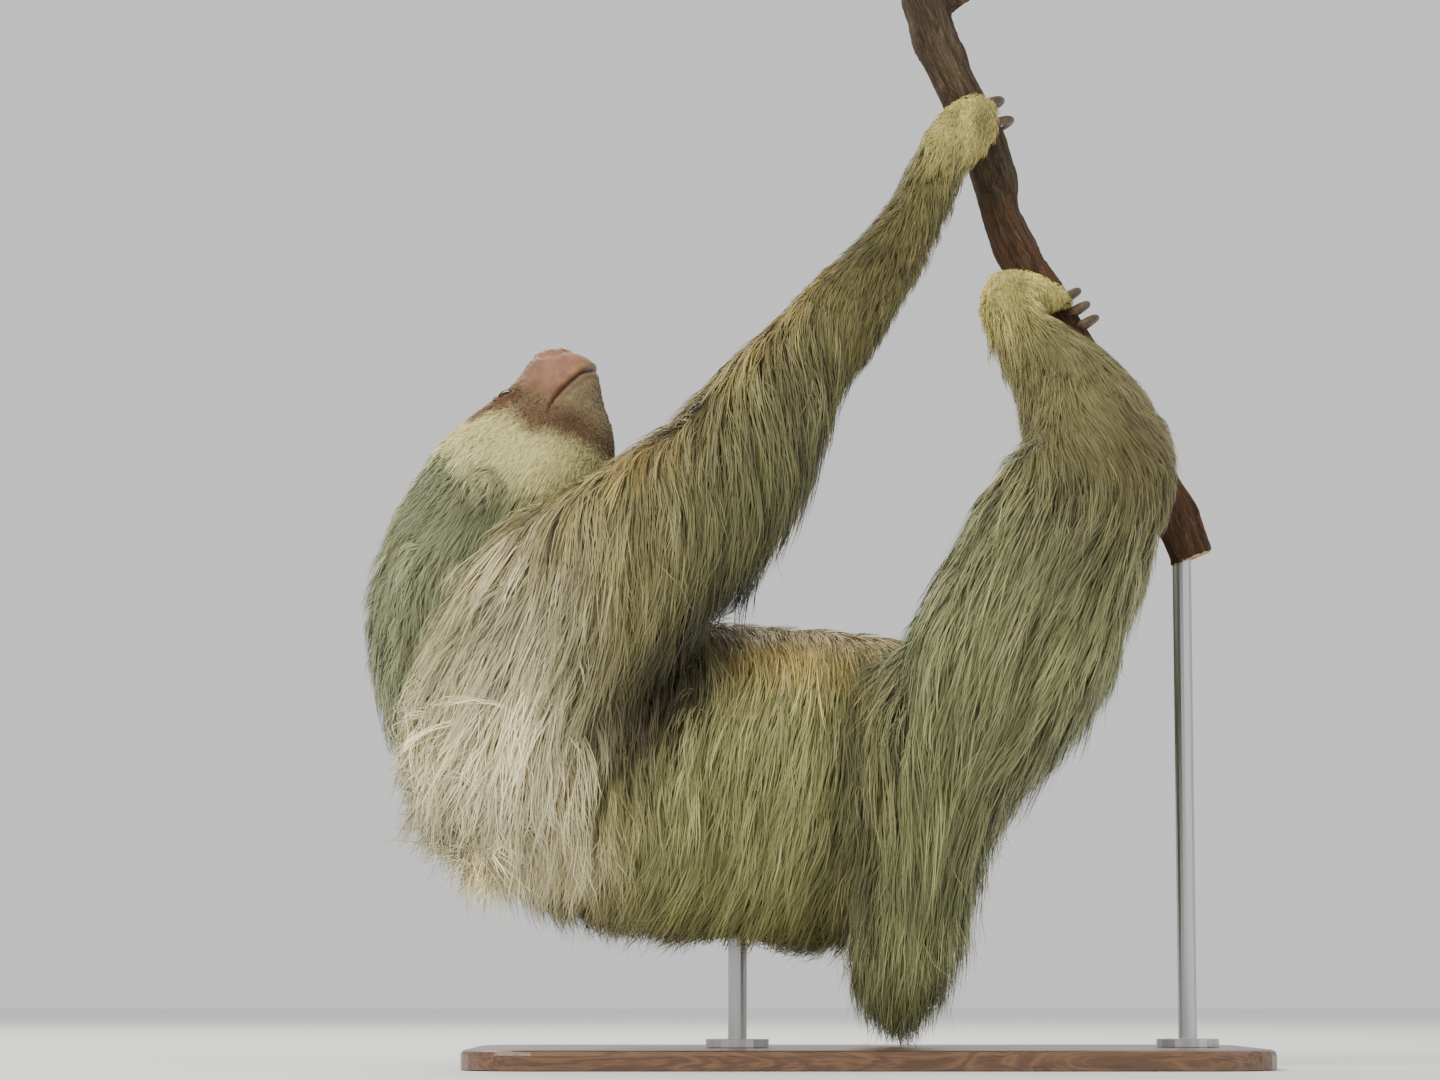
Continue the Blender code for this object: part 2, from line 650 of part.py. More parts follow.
def mouth_cut():
    """A thin bent sheet: the line of the mouth back to its corner, then down behind the jaw."""
    profile = [   # back from the nose, up
        (-0.020, -0.0135), (0.0, -0.0115), (0.015, -0.0070), (0.041, -0.0060),
        (0.052, -0.0280), (0.064, -0.0800),
    ]
    reach = 0.075
    work = bmesh.new()
    rings = []
    for i, (back, up) in enumerate(profile):
        before = Vector(profile[max(0, i - 1)])
        after = Vector(profile[min(len(profile) - 1, i + 1)])
        run = (after - before).normalized()
        step = Vector((-run.y, run.x)) * (CUT / 2)
        rings.append([
            work.verts.new(in_head(back + step.x * s, reach * w, up + step.y * s))
            for s, w in ((1, 1), (1, -1), (-1, -1), (-1, 1))
        ])
    for low, high in zip(rings, rings[1:]):
        for k in range(4):
            n = (k + 1) % 4
            work.faces.new((low[k], low[n], high[n], high[k]))
    work.faces.new(rings[0][::-1])
    work.faces.new(rings[-1])
    bmesh.ops.recalc_face_normals(work, faces=work.faces)
    made = bpy.data.meshes.new("mouth")
    work.to_mesh(made)
    work.free()
    return made


features = {
    "eye_left": (eye(1), EYE),
    "eye_right": (eye(-1), EYE),
    "ear_left": (ear(1), CREAM_FUR),
    "ear_right": (ear(-1), CREAM_FUR),
    "nose": (nose(), BARE_SKIN),
}
for name, (mesh, finish) in features.items():
    head_form = boolean(head_form, nose_pad(GAP) if name == "nose" else grown(mesh, GAP))
    keep(name, mesh, finish)
head_form = boolean(head_form, mouth_cut())
keep_islands(
    head_form,
    {"head": in_head(0.07, 0, 0.01), "lower_jaw": in_head(0.03, 0, -0.025)},
    {"head": CREAM_FUR, "lower_jaw": TAN_FUR},
)

# ---- the objects, centred over the origin and standing on Z = 0 ----
corners = [vertex.co for mesh, finish in parts.values() for vertex in mesh.vertices]
shift = Vector((
    -(min(c.x for c in corners) + max(c.x for c in corners)) / 2,
    -(min(c.y for c in corners) + max(c.y for c in corners)) / 2,
    -min(c.z for c in corners),
))
for name, (mesh, finish) in parts.items():
    mesh.transform(Matrix.Translation(shift))
    mesh.materials.clear()
    mesh.materials.append(finish)
    mesh.shade_smooth()
    mesh.set_sharp_from_angle(angle=math.radians(50))
    mesh.name = name
    bpy.context.scene.collection.objects.link(bpy.data.objects.new(name, mesh))
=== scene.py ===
# A two-toed sloth on a cut branch, held by a plain display stand: skin, coat, eyes, claws, bark and stand.
import math

import bpy
import numpy as np
from mathutils import Matrix, Vector, noise
from mathutils.bvhtree import BVHTree


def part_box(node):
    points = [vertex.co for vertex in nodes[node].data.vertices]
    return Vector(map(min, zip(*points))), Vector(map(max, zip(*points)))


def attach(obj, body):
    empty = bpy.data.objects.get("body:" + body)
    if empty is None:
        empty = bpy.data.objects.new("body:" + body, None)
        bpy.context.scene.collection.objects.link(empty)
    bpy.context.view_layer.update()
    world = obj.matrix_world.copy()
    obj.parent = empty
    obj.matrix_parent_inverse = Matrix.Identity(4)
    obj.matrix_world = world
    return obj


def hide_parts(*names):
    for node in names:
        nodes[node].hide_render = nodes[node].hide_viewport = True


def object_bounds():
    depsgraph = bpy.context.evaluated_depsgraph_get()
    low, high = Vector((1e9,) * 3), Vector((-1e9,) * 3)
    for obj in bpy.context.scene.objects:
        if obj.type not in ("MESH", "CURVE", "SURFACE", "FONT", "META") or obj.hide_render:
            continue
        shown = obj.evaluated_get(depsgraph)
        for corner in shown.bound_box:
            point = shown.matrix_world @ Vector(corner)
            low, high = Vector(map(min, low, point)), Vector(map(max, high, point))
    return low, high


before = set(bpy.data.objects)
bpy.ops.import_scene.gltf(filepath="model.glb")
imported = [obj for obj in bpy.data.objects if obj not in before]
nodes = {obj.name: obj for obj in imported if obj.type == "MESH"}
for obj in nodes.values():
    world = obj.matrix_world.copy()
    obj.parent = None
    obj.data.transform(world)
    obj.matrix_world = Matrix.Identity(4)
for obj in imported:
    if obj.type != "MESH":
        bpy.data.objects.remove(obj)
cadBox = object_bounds()
bpy.ops.object.select_all(action="DESELECT")
random = np.random.default_rng(11)
down = np.array((0.0, 0.0, -1.0))


# small helpers

def select(*pieces):
    bpy.ops.object.select_all(action="DESELECT")
    for piece in pieces:
        piece.select_set(True)
    bpy.context.view_layer.objects.active = pieces[0]


def addObject(name, data):
    piece = bpy.data.objects.new(name, data)
    bpy.context.scene.collection.objects.link(piece)
    return piece


def copyNode(name):
    return addObject(name + "Copy", nodes[name].data.copy())


def joinPieces(pieces, name):
    select(*pieces)
    if len(pieces) > 1:
        bpy.ops.object.join()
    pieces[0].name = name
    pieces[0].data.name = name
    return pieces[0]


def inEditMode(piece, work):
    select(piece)
    bpy.ops.object.mode_set(mode="EDIT")
    bpy.ops.mesh.select_all(action="SELECT")
    work()
    bpy.ops.object.mode_set(mode="OBJECT")


def editOnly(piece, level, chosen, work):        # works on the chosen vertices or polygons alone
    def edit():
        bpy.ops.mesh.select_all(action="DESELECT")
        bpy.ops.object.mode_set(mode="OBJECT")
        getattr(piece.data, level).foreach_set("select", chosen)
        bpy.ops.object.mode_set(mode="EDIT")
        work()
    bpy.context.tool_settings.mesh_select_mode = (level == "vertices", False, level == "polygons")
    inEditMode(piece, edit)


def weld(piece):
    inEditMode(piece, lambda: bpy.ops.mesh.remove_doubles(threshold=0.00002))


def useModifier(piece, kind, **settings):
    select(piece)
    modifier = piece.modifiers.new(kind, kind)
    for key, value in settings.items():
        setattr(modifier, key, value)
    bpy.ops.object.modifier_apply(modifier=modifier.name)


def readAll(elements, key, width=3, kind=np.float32):        # one property of every element, a row each
    values = np.empty(len(elements) * width, kind)
    elements.foreach_get(key, values)
    return values.reshape(-1, width).astype(float if kind is np.float32 else kind)


def pointsOf(piece):
    return readAll(piece.data.vertices, "co")


def normalsOf(piece):
    return readAll(piece.data.vertices, "normal")


def edgesOf(piece):
    return readAll(piece.data.edges, "vertices", 2, np.int32)


def trianglesOf(piece):
    piece.data.calc_loop_triangles()
    triangles = piece.data.loop_triangles
    return readAll(triangles, "vertices", 3, np.int32), readAll(triangles, "loops", 3, np.int32)


def setPoints(piece, points):
    piece.data.vertices.foreach_set("co", points.astype(np.float32).ravel())
    piece.data.update()


def setAttribute(mesh, name, kind, values):
    layer = mesh.attributes.get(name) or mesh.attributes.new(name, kind, "POINT")
    key = {"FLOAT": "value", "FLOAT_VECTOR": "vector", "FLOAT_COLOR": "color"}[kind]
    layer.data.foreach_set(key, np.ascontiguousarray(values, np.float32).ravel())


def unit(vectors):
    return vectors / np.maximum(np.linalg.norm(vectors, axis=-1, keepdims=True), 1e-9)


def dot(a, b):
    return (a * b).sum(-1)


def ease(value, low, high):
    t = np.clip((value - low) / (high - low), 0, 1)
    return t * t * (3 - 2 * t)


def bell(value, width):
    return np.exp(-(value / width) ** 2)


def gapTo(points, places):       # distance to the nearest of a few places
    return np.min([np.linalg.norm(points - p, axis=1) for p in places], axis=0)


def crossOf(points, triangles):          # each triangle's normal, as long as twice its area
    first, second, third = (points[triangles[:, k]] for k in range(3))
    return np.cross(second - first, third - first)


def blend(values, picked, share):        # values between three corners each
    rows = values[picked]
    return (rows * share.reshape(share.shape + (1,) * (rows.ndim - 2))).sum(axis=1)


def spread(values, edges, rounds):       # evens values out over a mesh
    values = np.array(values, float)
    flat = values.reshape(len(values), -1)
    a, b = edges[:, 0], edges[:, 1]
    count = np.maximum(np.bincount(edges.ravel(), minlength=len(flat)), 1)
    for _ in range(rounds):
        for k in range(flat.shape[1]):
            column = flat[:, k]
            total = np.bincount(a, column[b], len(flat)) + np.bincount(b, column[a], len(flat))
            flat[:, k] = 0.5 * column + 0.5 * total / count
    return flat.reshape(values.shape)


def spreadAlong(values, points, edges, directions, rounds):      # evens values out along the lie of the coat
    a, b = edges.T
    run = unit(points[b] - points[a])
    weight = np.maximum(dot(run, directions[a]) ** 2, dot(run, directions[b]) ** 2) ** 4 + 1e-4
    total = np.bincount(a, weight, len(values)) + np.bincount(b, weight, len(values))
    for _ in range(rounds):
        there, back = (np.bincount(u, weight * values[v], len(values)) for u, v in ((a, b), (b, a)))
        values = 0.3 * values + 0.7 * (there + back) / total
    return values / values.std()


def treeOf(points, triangles):
    return BVHTree.FromPolygons(points.tolist(), triangles.tolist())


def nearest(tree, points):       # place and triangle of the nearest surface point
    found = [tree.find_nearest(p) for p in points.tolist()]
    return np.array([f[0] for f in found]), np.array([f[2] for f in found])


def roughness3d(points, scale, octaves=3, seed=0.0):
    return np.array([noise.fractal(Vector(p) * scale + Vector((seed, seed, seed)), 0.8, 2.1, octaves)
                     for p in points.tolist()])


def middle(name):
    low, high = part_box(name)
    return np.array((low + high) / 2)


def turnedTo(place, way, axis="-Z"):     # the matrix that puts a thing at a place, pointing a way
    return Matrix.Translation(place) @ way.to_track_quat(axis, "Y").to_matrix().to_4x4()


# the head's own directions

headSettings = {"pitch": math.radians(60), "eyeBack": 0.0483, "eyeUp": 0.0213}
eyes = {side: Vector(middle("eye_" + side)) for side in ("left", "right")}
headLeft = (eyes["left"] - eyes["right"]).normalized()
headForward = Vector((math.cos(headSettings["pitch"]), 0, math.sin(headSettings["pitch"])))
headForward = (headForward - headLeft * headForward.dot(headLeft)).normalized()
headUp = headForward.cross(headLeft)
nosePoint = ((eyes["left"] + eyes["right"]) / 2 + headForward * headSettings["eyeBack"]
             - headUp * headSettings["eyeUp"])
headAxes = np.array((-headForward, headLeft, headUp))


def inHead(points):              # back from the nose, left, up
    return (points - np.array(nosePoint)) @ headAxes.T


# the skin

skinSettings = {
    "grow": 0.0006,              # closes the thin cuts between the solids
    "voxel": 0.0032,
    "rounds": 7,
    "thinLimit": 0.27,           # the coat takes at most this share of a limb's thickness
    "muzzleZone": (0.064, 0.06),         # finer faces on the muzzle: how far back, how far to each side
    "noseZone": (0.044, 0.05),
    "earZone": 0.018, "eyeZone": 0.014, "lidZone": 0.0105,
    "underFur": 0.020,           # under a coat longer than this, the skin keeps this share of its faces
    "keptFaces": 0.62,
}
# depth of the coat, its length, sweep direction and how strongly it hangs
coatOf = {
    "head": (0.0040, 0.014, (-0.50, 0, -0.86), 0.25),
    "lower_jaw": (0.0008, 0.005, (-0.50, 0, -0.86), 0.1),
    "nose": (0.0, 0.003, (-0.50, 0, -0.86), 0.0),
    "ear": (0.0010, 0.007, (-0.50, 0, -0.86), 0.1),
    "neck": (0.0140, 0.046, (-0.12, 0, -1.00), 0.8),
    "chest": (0.0190, 0.088, (-0.30, 0, -1.00), 1.0),
    "belly": (0.0190, 0.088, (-0.40, 0, -1.00), 0.8),
    "rump": (0.0200, 0.090, (-0.60, 0, -1.00), 0.8),
    "shoulder": (0.0200, 0.105, (-0.28, 0, -1.00), 1.0),
    "upper_arm": (0.0140, 0.072, (0.08, 0, -1.00), 0.9),
    "forearm": (0.0065, 0.024, (-0.30, 0, -1.00), 0.4),
    "hand": (0.0030, 0.0085, (-0.62, 0, -0.78), 0.1),
    "haunch": (0.0220, 0.108, (-0.16, 0, -1.00), 1.0),
    "thigh": (0.0150, 0.078, (-0.52, 0, -1.00), 0.8),
    "shank": (0.0085, 0.034, (0.45, 0, -0.85), 0.5),
    "foot": (0.0030, 0.0085, (0.10, 0, -1.00), 0.1),
}
furColours = {
    "head": (0.92, 0.86, 0.46), "lower_jaw": (0.42, 0.33, 0.24), "nose": (0.40, 0.25, 0.18),
    "ear": (0.60, 0.57, 0.32), "neck": (0.275, 0.305, 0.165), "chest": (0.36, 0.345, 0.145),
    "belly": (0.345, 0.355, 0.135), "rump": (0.25, 0.265, 0.105), "shoulder": (0.255, 0.235, 0.098),
    "upper_arm": (0.162, 0.162, 0.067), "forearm": (0.195, 0.172, 0.061), "hand": (0.86, 0.76, 0.27),
    "haunch": (0.210, 0.225, 0.094), "thigh": (0.250, 0.260, 0.118), "shank": (0.250, 0.228, 0.088),
    "foot": (0.75, 0.67, 0.22),
}
fleshNodes = sorted(n for n in nodes if not n.startswith(("claw_", "eye_", "perch_", "stand_")))


def kindOf(name):
    return next(k for k in coatOf if name.startswith(k))


copies = [copyNode(name) for name in fleshNodes + ["eye_left", "eye_right"]]
skin = joinPieces(copies, "skin")
weld(skin)
useModifier(skin, "DISPLACE", strength=skinSettings["grow"], mid_level=0.0)
useModifier(skin, "REMESH", mode="VOXEL", voxel_size=skinSettings["voxel"])
useModifier(skin, "SMOOTH", factor=0.5, iterations=skinSettings["rounds"])


def keepLargest(piece):
    edges = edgesOf(piece)
    label = np.arange(len(piece.data.vertices))
    while True:                  # each vertex takes the lowest label it touches
        before = label.copy()
        np.minimum.at(label, edges[:, 0], before[edges[:, 1]])
        np.minimum.at(label, edges[:, 1], before[edges[:, 0]])
        label = label[label]
        if (label == before).all():
            break
    loose = label != np.bincount(label).argmax()
    if loose.any():
        editOnly(piece, "vertices", loose, lambda: bpy.ops.mesh.delete(type="VERT"))


keepLargest(skin)
coatPoints = pointsOf(skin)
coatTriangles, _ = trianglesOf(skin)
coatTree = treeOf(coatPoints, coatTriangles)
print("coat surface", len(coatPoints), "points")


def refine(piece, test):         # cuts the faces whose middles pass the test in four
    chosen = test(readAll(piece.data.polygons, "center"))
    editOnly(piece, "polygons", chosen, lambda: bpy.ops.mesh.subdivide(number_cuts=1))


earPlaces = [middle("ear_" + side) for side in ("left", "right")]
eyePlaces = [np.array(eyes[side]) for side in ("left", "right")]


def inZone(points, zone):
    at = inHead(points)
    return (at[:, 0] < zone[0]) & (np.abs(at[:, 1]) < zone[1]) & (points[:, 0] < -0.1)


def faceTest(points):
    return inZone(points, skinSettings["muzzleZone"]) | (gapTo(points, earPlaces) < skinSettings["earZone"])


def detailTest(points):
    onNose = inZone(points, skinSettings["noseZone"]) & (points[:, 2] > 0.38)
    return onNose | (gapTo(points, eyePlaces) < skinSettings["eyeZone"])


def lidTest(points):
    return gapTo(points, eyePlaces) < skinSettings["lidZone"]


for test in (faceTest, detailTest, lidTest):
    refine(skin, test)


def lineDistance(u, w, line):    # distance to a broken line
    best = np.full(len(u), 9.0)
    for (u0, w0), (u1, w1) in zip(line, line[1:]):
        du, dw = u1 - u0, w1 - w0
        t = np.clip(((u - u0) * du + (w - w0) * dw) / (du * du + dw * dw), 0, 1)
        best = np.minimum(best, np.hypot(u - u0 - t * du, w - w0 - t * dw))
    return best


# the folds under the right arm and before the haunch, where hair is shorter, skin deeper and colour darkened
# as painted shade: share, width, and the x, z of its line
foldSettings = {
    "lines": (
        (1.0, 0.020, ((-0.112, 0.216), (-0.078, 0.246), (-0.040, 0.288))),
        (0.50, 0.013, ((0.040, 0.252), (0.024, 0.205), (0.020, 0.165), (0.027, 0.130), (0.022, 0.105))),
    ),
    "shorter": 0.50, "deeper": 0.006, "paintedShade": 0.66,
}


def foldShare(points):
    found = np.zeros(len(points))
    for share, width, line in foldSettings["lines"]:
        gap = lineDistance(points[:, 0], points[:, 2], line)
        found = np.maximum(found, share * bell(gap, width))
    return found * ease(-points[:, 1], 0.0, 0.03)


# what each point of the coat's surface is, and how its coat lies
points, normals, edges = pointsOf(skin), normalsOf(skin), edgesOf(skin)
nodeCorners, nodeTriangles, owner = [], [], []
for index, name in enumerate(fleshNodes):
    mesh = nodes[name].data
    mesh.calc_loop_triangles()
    start = len(nodeCorners)
    nodeCorners += [tuple(v.co) for v in mesh.vertices]
    nodeTriangles += [tuple(start + v for v in t.vertices) for t in mesh.loop_triangles]
    owner += [index] * len(mesh.loop_triangles)
nodeTree = BVHTree.FromPolygons(nodeCorners, nodeTriangles)
_, hit = nearest(nodeTree, points)
pointNode = np.array(owner)[hit]
at = inHead(points)


def belongs(*starts):            # the points whose node's name starts so
    return np.array([name.startswith(starts) for name in fleshNodes])[pointNode]


def perPoint(table, column=None):
    rows = [table[kindOf(name)] for name in fleshNodes]
    return np.array([row if column is None else row[column] for row in rows], float)[pointNode]


onHead = belongs("head", "lower_jaw", "nose", "ear")
depth, length, sweep, hang = (perPoint(coatOf, column) for column in range(4))
colour = perPoint(furColours)
top = ease(normals[:, 2], 0.35, 0.85)           # where the coat parts and falls to both sides
forward = np.clip(5 * (0.054 - points[:, 0]) - 0.05, -0.6, 0.25)
sweep[:, 0] = np.where(belongs("haunch"), forward, sweep[:, 0])
sweep[:, 0] -= 0.65 * belongs("shoulder") * ease(-points[:, 0], 0.175, 0.240)
sweep[:, 0] *= 1 - 0.9 * top * (1 - onHead)
sweep = unit(sweep)

# the head's coat runs from bare at the nose to long at the nape
backOnHead = at[:, 0]
headDepth = 0.0002 + 0.0036 * ease(backOnHead, 0.030, 0.060) + 0.009 * ease(backOnHead, 0.085, 0.135)
headLength = 0.0044 + 0.0076 * ease(backOnHead, 0.040, 0.072) + 0.026 * ease(backOnHead, 0.080, 0.135)
depth = np.where(onHead, headDepth, depth)
length = np.where(onHead, headLength, length)
depth, length, hang = (spread(values, edges, 50) for values in (depth, length, hang))
depth = np.where(onHead & (backOnHead < 0.06), headDepth, depth)

# the belly's midline has a band of short hair
ridge = ease(normals[:, 2], 0.55, 0.95) * ease(points[:, 0], -0.15, -0.09) * ease(-points[:, 0], -0.10, -0.04)
length *= 1 - 0.50 * ridge
depth *= 1 - 0.45 * np.maximum(ridge, top * (1 - onHead))

inFold = foldShare(points) * (1 - onHead) * (1 - ridge)
length *= 1 - foldSettings["shorter"] * inFold
depth += foldSettings["deeper"] * inFold

rays = zip((points - normals * 0.001).tolist(), (-normals).tolist())
thickness = np.array([(coatTree.ray_cast(place, way)[3] or 0.1) for place, way in rays])
depth = np.minimum(depth, skinSettings["thinLimit"] * spread(np.minimum(thickness, 0.12), edges, 6))
depth = spread(depth, edges, 3)

flow = sweep - normals * dot(sweep, normals)[:, None]
flow = spread(flow, edges, 60)
flow = unit(flow - normals * dot(flow, normals)[:, None])
shoulderLow, shoulderHigh = (np.array(corner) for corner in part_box("shoulder_right"))
messyAt = shoulderLow * (0.85, 0.8, 0.85) + shoulderHigh * (0.15, 0.2, 0.15)
messy = bell(np.linalg.norm((points - messyAt) * (1, 0.6, 0.7), axis=1), 0.092)      # flyaway locks
messy *= ease(-points[:, 1], -0.02, 0.04)
swirl = roughness3d(points, 14.0) * 0.46 + roughness3d(points, 48.0, 2, 4.0) * (0.10 + 0.5 * messy)
flow = unit(flow * np.cos(swirl)[:, None] + np.cross(normals, flow) * np.sin(swirl)[:, None])
wisps = spreadAlong(roughness3d(points, 75.0, 3, 9.0), points, edges, flow, 60) * (1 - onHead)

points = points - normals * depth[:, None]
setPoints(skin, points)
smoothShare = np.clip(depth / 0.01, 0, 1)[:, None]
points = points * (1 - smoothShare) + spread(points, edges, 8) * smoothShare
muzzle = ((at[:, 0] < 0.060) & onHead)[:, None] * 1.0
points = points * (1 - muzzle) + spread(points, edges, 12) * muzzle
setPoints(skin, points)
print("skin", len(points), "points")

# features of the face, hands and feet

faceSettings = {
    "mouth": ((-0.020, -0.0145), (0.0036, -0.0125), (0.0085, -0.0097), (0.0178, -0.0078), (0.0247, -0.0065),
              (0.0317, -0.0056), (0.0405, -0.0071), (0.0465, -0.0090)),
    "mouthEnd": 0.0480,
    "mouthDepth": 0.0026, "mouthWidth": 0.0012, "lip": 0.0006,
    "nostril": (0.0022, 0.0068, 0.0090), "nostrilSize": 0.0030, "nostrilDepth": 0.0042,
    "padCentre": (0.0078, 0.0, 0.0160), "padSize": (0.016, 0.0135),
    "padRise": 0.0007, "padTilt": math.radians(36),
    "eyeRadius": 0.0062,
}
normals = normalsOf(skin)
at = inHead(points)
back, left, up = at.T
wide = np.abs(left)
onFace = onHead & (back < 0.075)

# the mouth: a groove between two lips
mouthGap = lineDistance(back, up, faceSettings["mouth"])
facesOut = ease(dot(normals, np.array(headLeft)) * np.sign(left), -0.2, 0.25) + ease(0.006 - back, 0, 0.004)
fade = np.clip(facesOut, 0, 1) * ease(faceSettings["mouthEnd"] - back, 0.0, 0.007) * onFace
groove = -faceSettings["mouthDepth"] * bell(mouthGap, faceSettings["mouthWidth"])
lips = faceSettings["lip"] * bell(mouthGap - 0.0034, 0.0018)
move = (groove + lips) * fade

# the nose pad, its rim and the nostrils
padBack, _, padUp = faceSettings["padCentre"]
tilt = faceSettings["padTilt"]
padX = (back - padBack) * math.sin(tilt) + (up - padUp) * math.cos(tilt)
padOut = -(back - padBack) * math.cos(tilt) + (up - padUp) * math.sin(tilt)
padReach = np.hypot(padX / faceSettings["padSize"][1], left / faceSettings["padSize"][0])
onPad = onFace & (padOut > -0.012)
move += onPad * faceSettings["padRise"] * ((1 - ease(padReach, 0.80, 1.0)) - bell(padReach - 1.03, 0.10))
nostrilBack, nostrilWide, nostrilUp = faceSettings["nostril"]
hole = np.sqrt((back - nostrilBack) ** 2 + ((wide - nostrilWide) * 0.8) ** 2 + ((up - nostrilUp) * 1.15) ** 2)
holeSize = faceSettings["nostrilSize"]
nostril = onFace * (1 - ease(hole, 0.35 * holeSize, 1.15 * holeSize))
move -= faceSettings["nostrilDepth"] * nostril
move += onFace * 0.0007 * bell(hole - 1.45 * holeSize, 0.0011)

# folds over the muzzle and round the corner of the mouth
folds = np.zeros(len(points))
rings = np.sin(back[onFace] * 1500 + 5 * roughness3d(points[onFace], 60.0, 2))
folds[onFace] = 0.00022 * roughness3d(points[onFace], 260.0, 2, 3.0) + 0.00016 * rings
move += folds * ease(0.050 - back, 0, 0.015)
points = points + normals * move[:, None]

# lids: the skin rises over each eyeball and is open in the middle
lidSettings = {"thick": 0.0008, "round": 0.62, "blend": 0.0026, "reach": 0.018, "opening": (0.0050, 0.0040),
               "margin": 0.0004, "crease": 0.0098, "gaze": (0.50, 0.66, 0.56)}
gazes = {}
radius = faceSettings["eyeRadius"]
for side, sign in (("left", 1), ("right", -1)):
    forward, outward, upward = lidSettings["gaze"]
    gaze = unit(np.array(headForward * forward + headLeft * outward * sign + headUp * upward))
    slant = np.array(-headForward + headUp * 0.35)
    slant = unit(slant - gaze * dot(slant, gaze))
    lift = np.cross(gaze, slant) * sign
    gazes[side] = (gaze, slant, lift)
    away = points - np.array(eyes[side])
    high, across, rise = dot(away, gaze), dot(away, slant), dot(away, lift)
    ring = np.hypot(across, rise)
    near = onHead * (high > -0.004) * (ring < lidSettings["reach"])
    crown = radius + lidSettings["thick"]
    dome = crown - lidSettings["round"] * ring ** 2 / crown
    share = np.clip(0.5 + 0.5 * (dome - high) / lidSettings["blend"], 0, 1)
    wanted = high * (1 - share) + dome * share + lidSettings["blend"] * share * (1 - share)
    openAcross, openRise = lidSettings["opening"]
    opening = np.hypot(across / openAcross, rise / openRise)
    wanted += lidSettings["margin"] * bell(opening - 1.16, 0.16)
    wanted -= 0.0006 * bell(ring - lidSettings["crease"], 0.0012)
    hidden = np.sqrt(np.maximum(radius ** 2 - ring ** 2, 0)) - 0.0012
    wanted = np.where(opening < 1, hidden + (wanted - hidden) * ease(opening, 0.84, 1.0), wanted)
    points = points + gaze * ((wanted - high) * near)[:, None]

# ears: a low shell with a hollow in it
earSettings = {"shell": 0.0035, "radius": 0.0085, "width": 0.0028, "hollow": 0.0030, "reach": 0.014}
for place, sign in zip(earPlaces, (1, -1)):
    away = points - place
    outward = unit(np.array(headLeft) * sign)
    flat = away - outward * dot(away, outward)[:, None]
    ring = np.linalg.norm(flat, axis=1)
    near = onHead * (np.abs(dot(away, outward)) < earSettings["reach"]) * (dot(normals, outward) > 0.2)
    rise = earSettings["shell"] * bell(ring - earSettings["radius"], earSettings["width"])
    rise -= earSettings["hollow"] * (1 - ease(ring, 0.003, 0.007))
    points = points + outward * (near * rise)[:, None]

# fingers and toes: a groove between each pair of claws, on the knuckles
digitSettings = {"depth": 0.0042, "width": 0.0030, "reach": 0.030}
for limb, count in (("hand_right", 2), ("hand_left", 2), ("foot_right", 3), ("foot_left", 3)):
    tips = [middle(f"claw_{limb}_{i + 1}") for i in range(count)]
    run = unit(tips[-1] - tips[0])
    for first, second in zip(tips, tips[1:]):
        away = points - (first + second) / 2
        far = np.linalg.norm(away, axis=1) / digitSettings["reach"]
        cut = bell(dot(away, run), digitSettings["width"]) * (1 - ease(far, 0.6, 1.25)) * belongs(limb)
        points = points - normals * (digitSettings["depth"] * cut)[:, None]
setPoints(skin, points)
skin.data.shade_smooth()
normals = normalsOf(skin)
print("face and digits shaped")

# markings, the same on skin and coat

markings = {
    "brown": (0.245, 0.108, 0.048), "bare": (0.262, 0.136, 0.080), "nose": (0.375, 0.180, 0.108),
    "lip": (0.205, 0.140, 0.075), "dark": (0.110, 0.044, 0.021), "rim": (0.62, 0.46, 0.33),
    "ridge": (0.52, 0.375, 0.125), "nape": (0.275, 0.305, 0.165), "paleSunlitFur": (1.00, 0.93, 0.63),
    "straw": (0.34, 0.215, 0.060), "chin": (0.41, 0.325, 0.165), "paintedLitCrest": (0.62, 0.47, 0.155),
    "knee": (0.17, 0.130, 0.055), "shade": (0.075, 0.055, 0.025), "cream": (0.96, 0.91, 0.46),
}
# the brown mask's edge on the cheek, from the chin up to the brow: up, back
maskEdge = ((-0.0487, 0.0498), (-0.0319, 0.0515), (-0.0159, 0.0540), (-0.0078, 0.0585), (0.0008, 0.0574),
            (0.0120, 0.0533), (0.0202, 0.0560), (0.0280, 0.0420))
eyeStreak = ((0.034, 0.0150), (0.046, 0.0205), (0.058, 0.0265), (0.070, 0.0320))
# the palest fur on the right shoulder, pale hair with a painted patch of sunlight on it: x, z, half width,
# half height, share
paleFurSunPatches = ((-0.166, 0.262, 0.030, 0.076, 1.0), (-0.219, 0.218, 0.038, 0.050, 0.75),
               (-0.180, 0.143, 0.046, 0.028, 0.90))
coatDim = 0.80                   # the whole coat but its palest patches, which are partly painted sunlight


def paint(base, *marks):         # each mark is a tone's name and its share at every point
    for name, share in marks:
        share = np.clip(share, 0, 1)[:, None]
        base = base * (1 - share) + np.array(markings[name]) * share
    return base


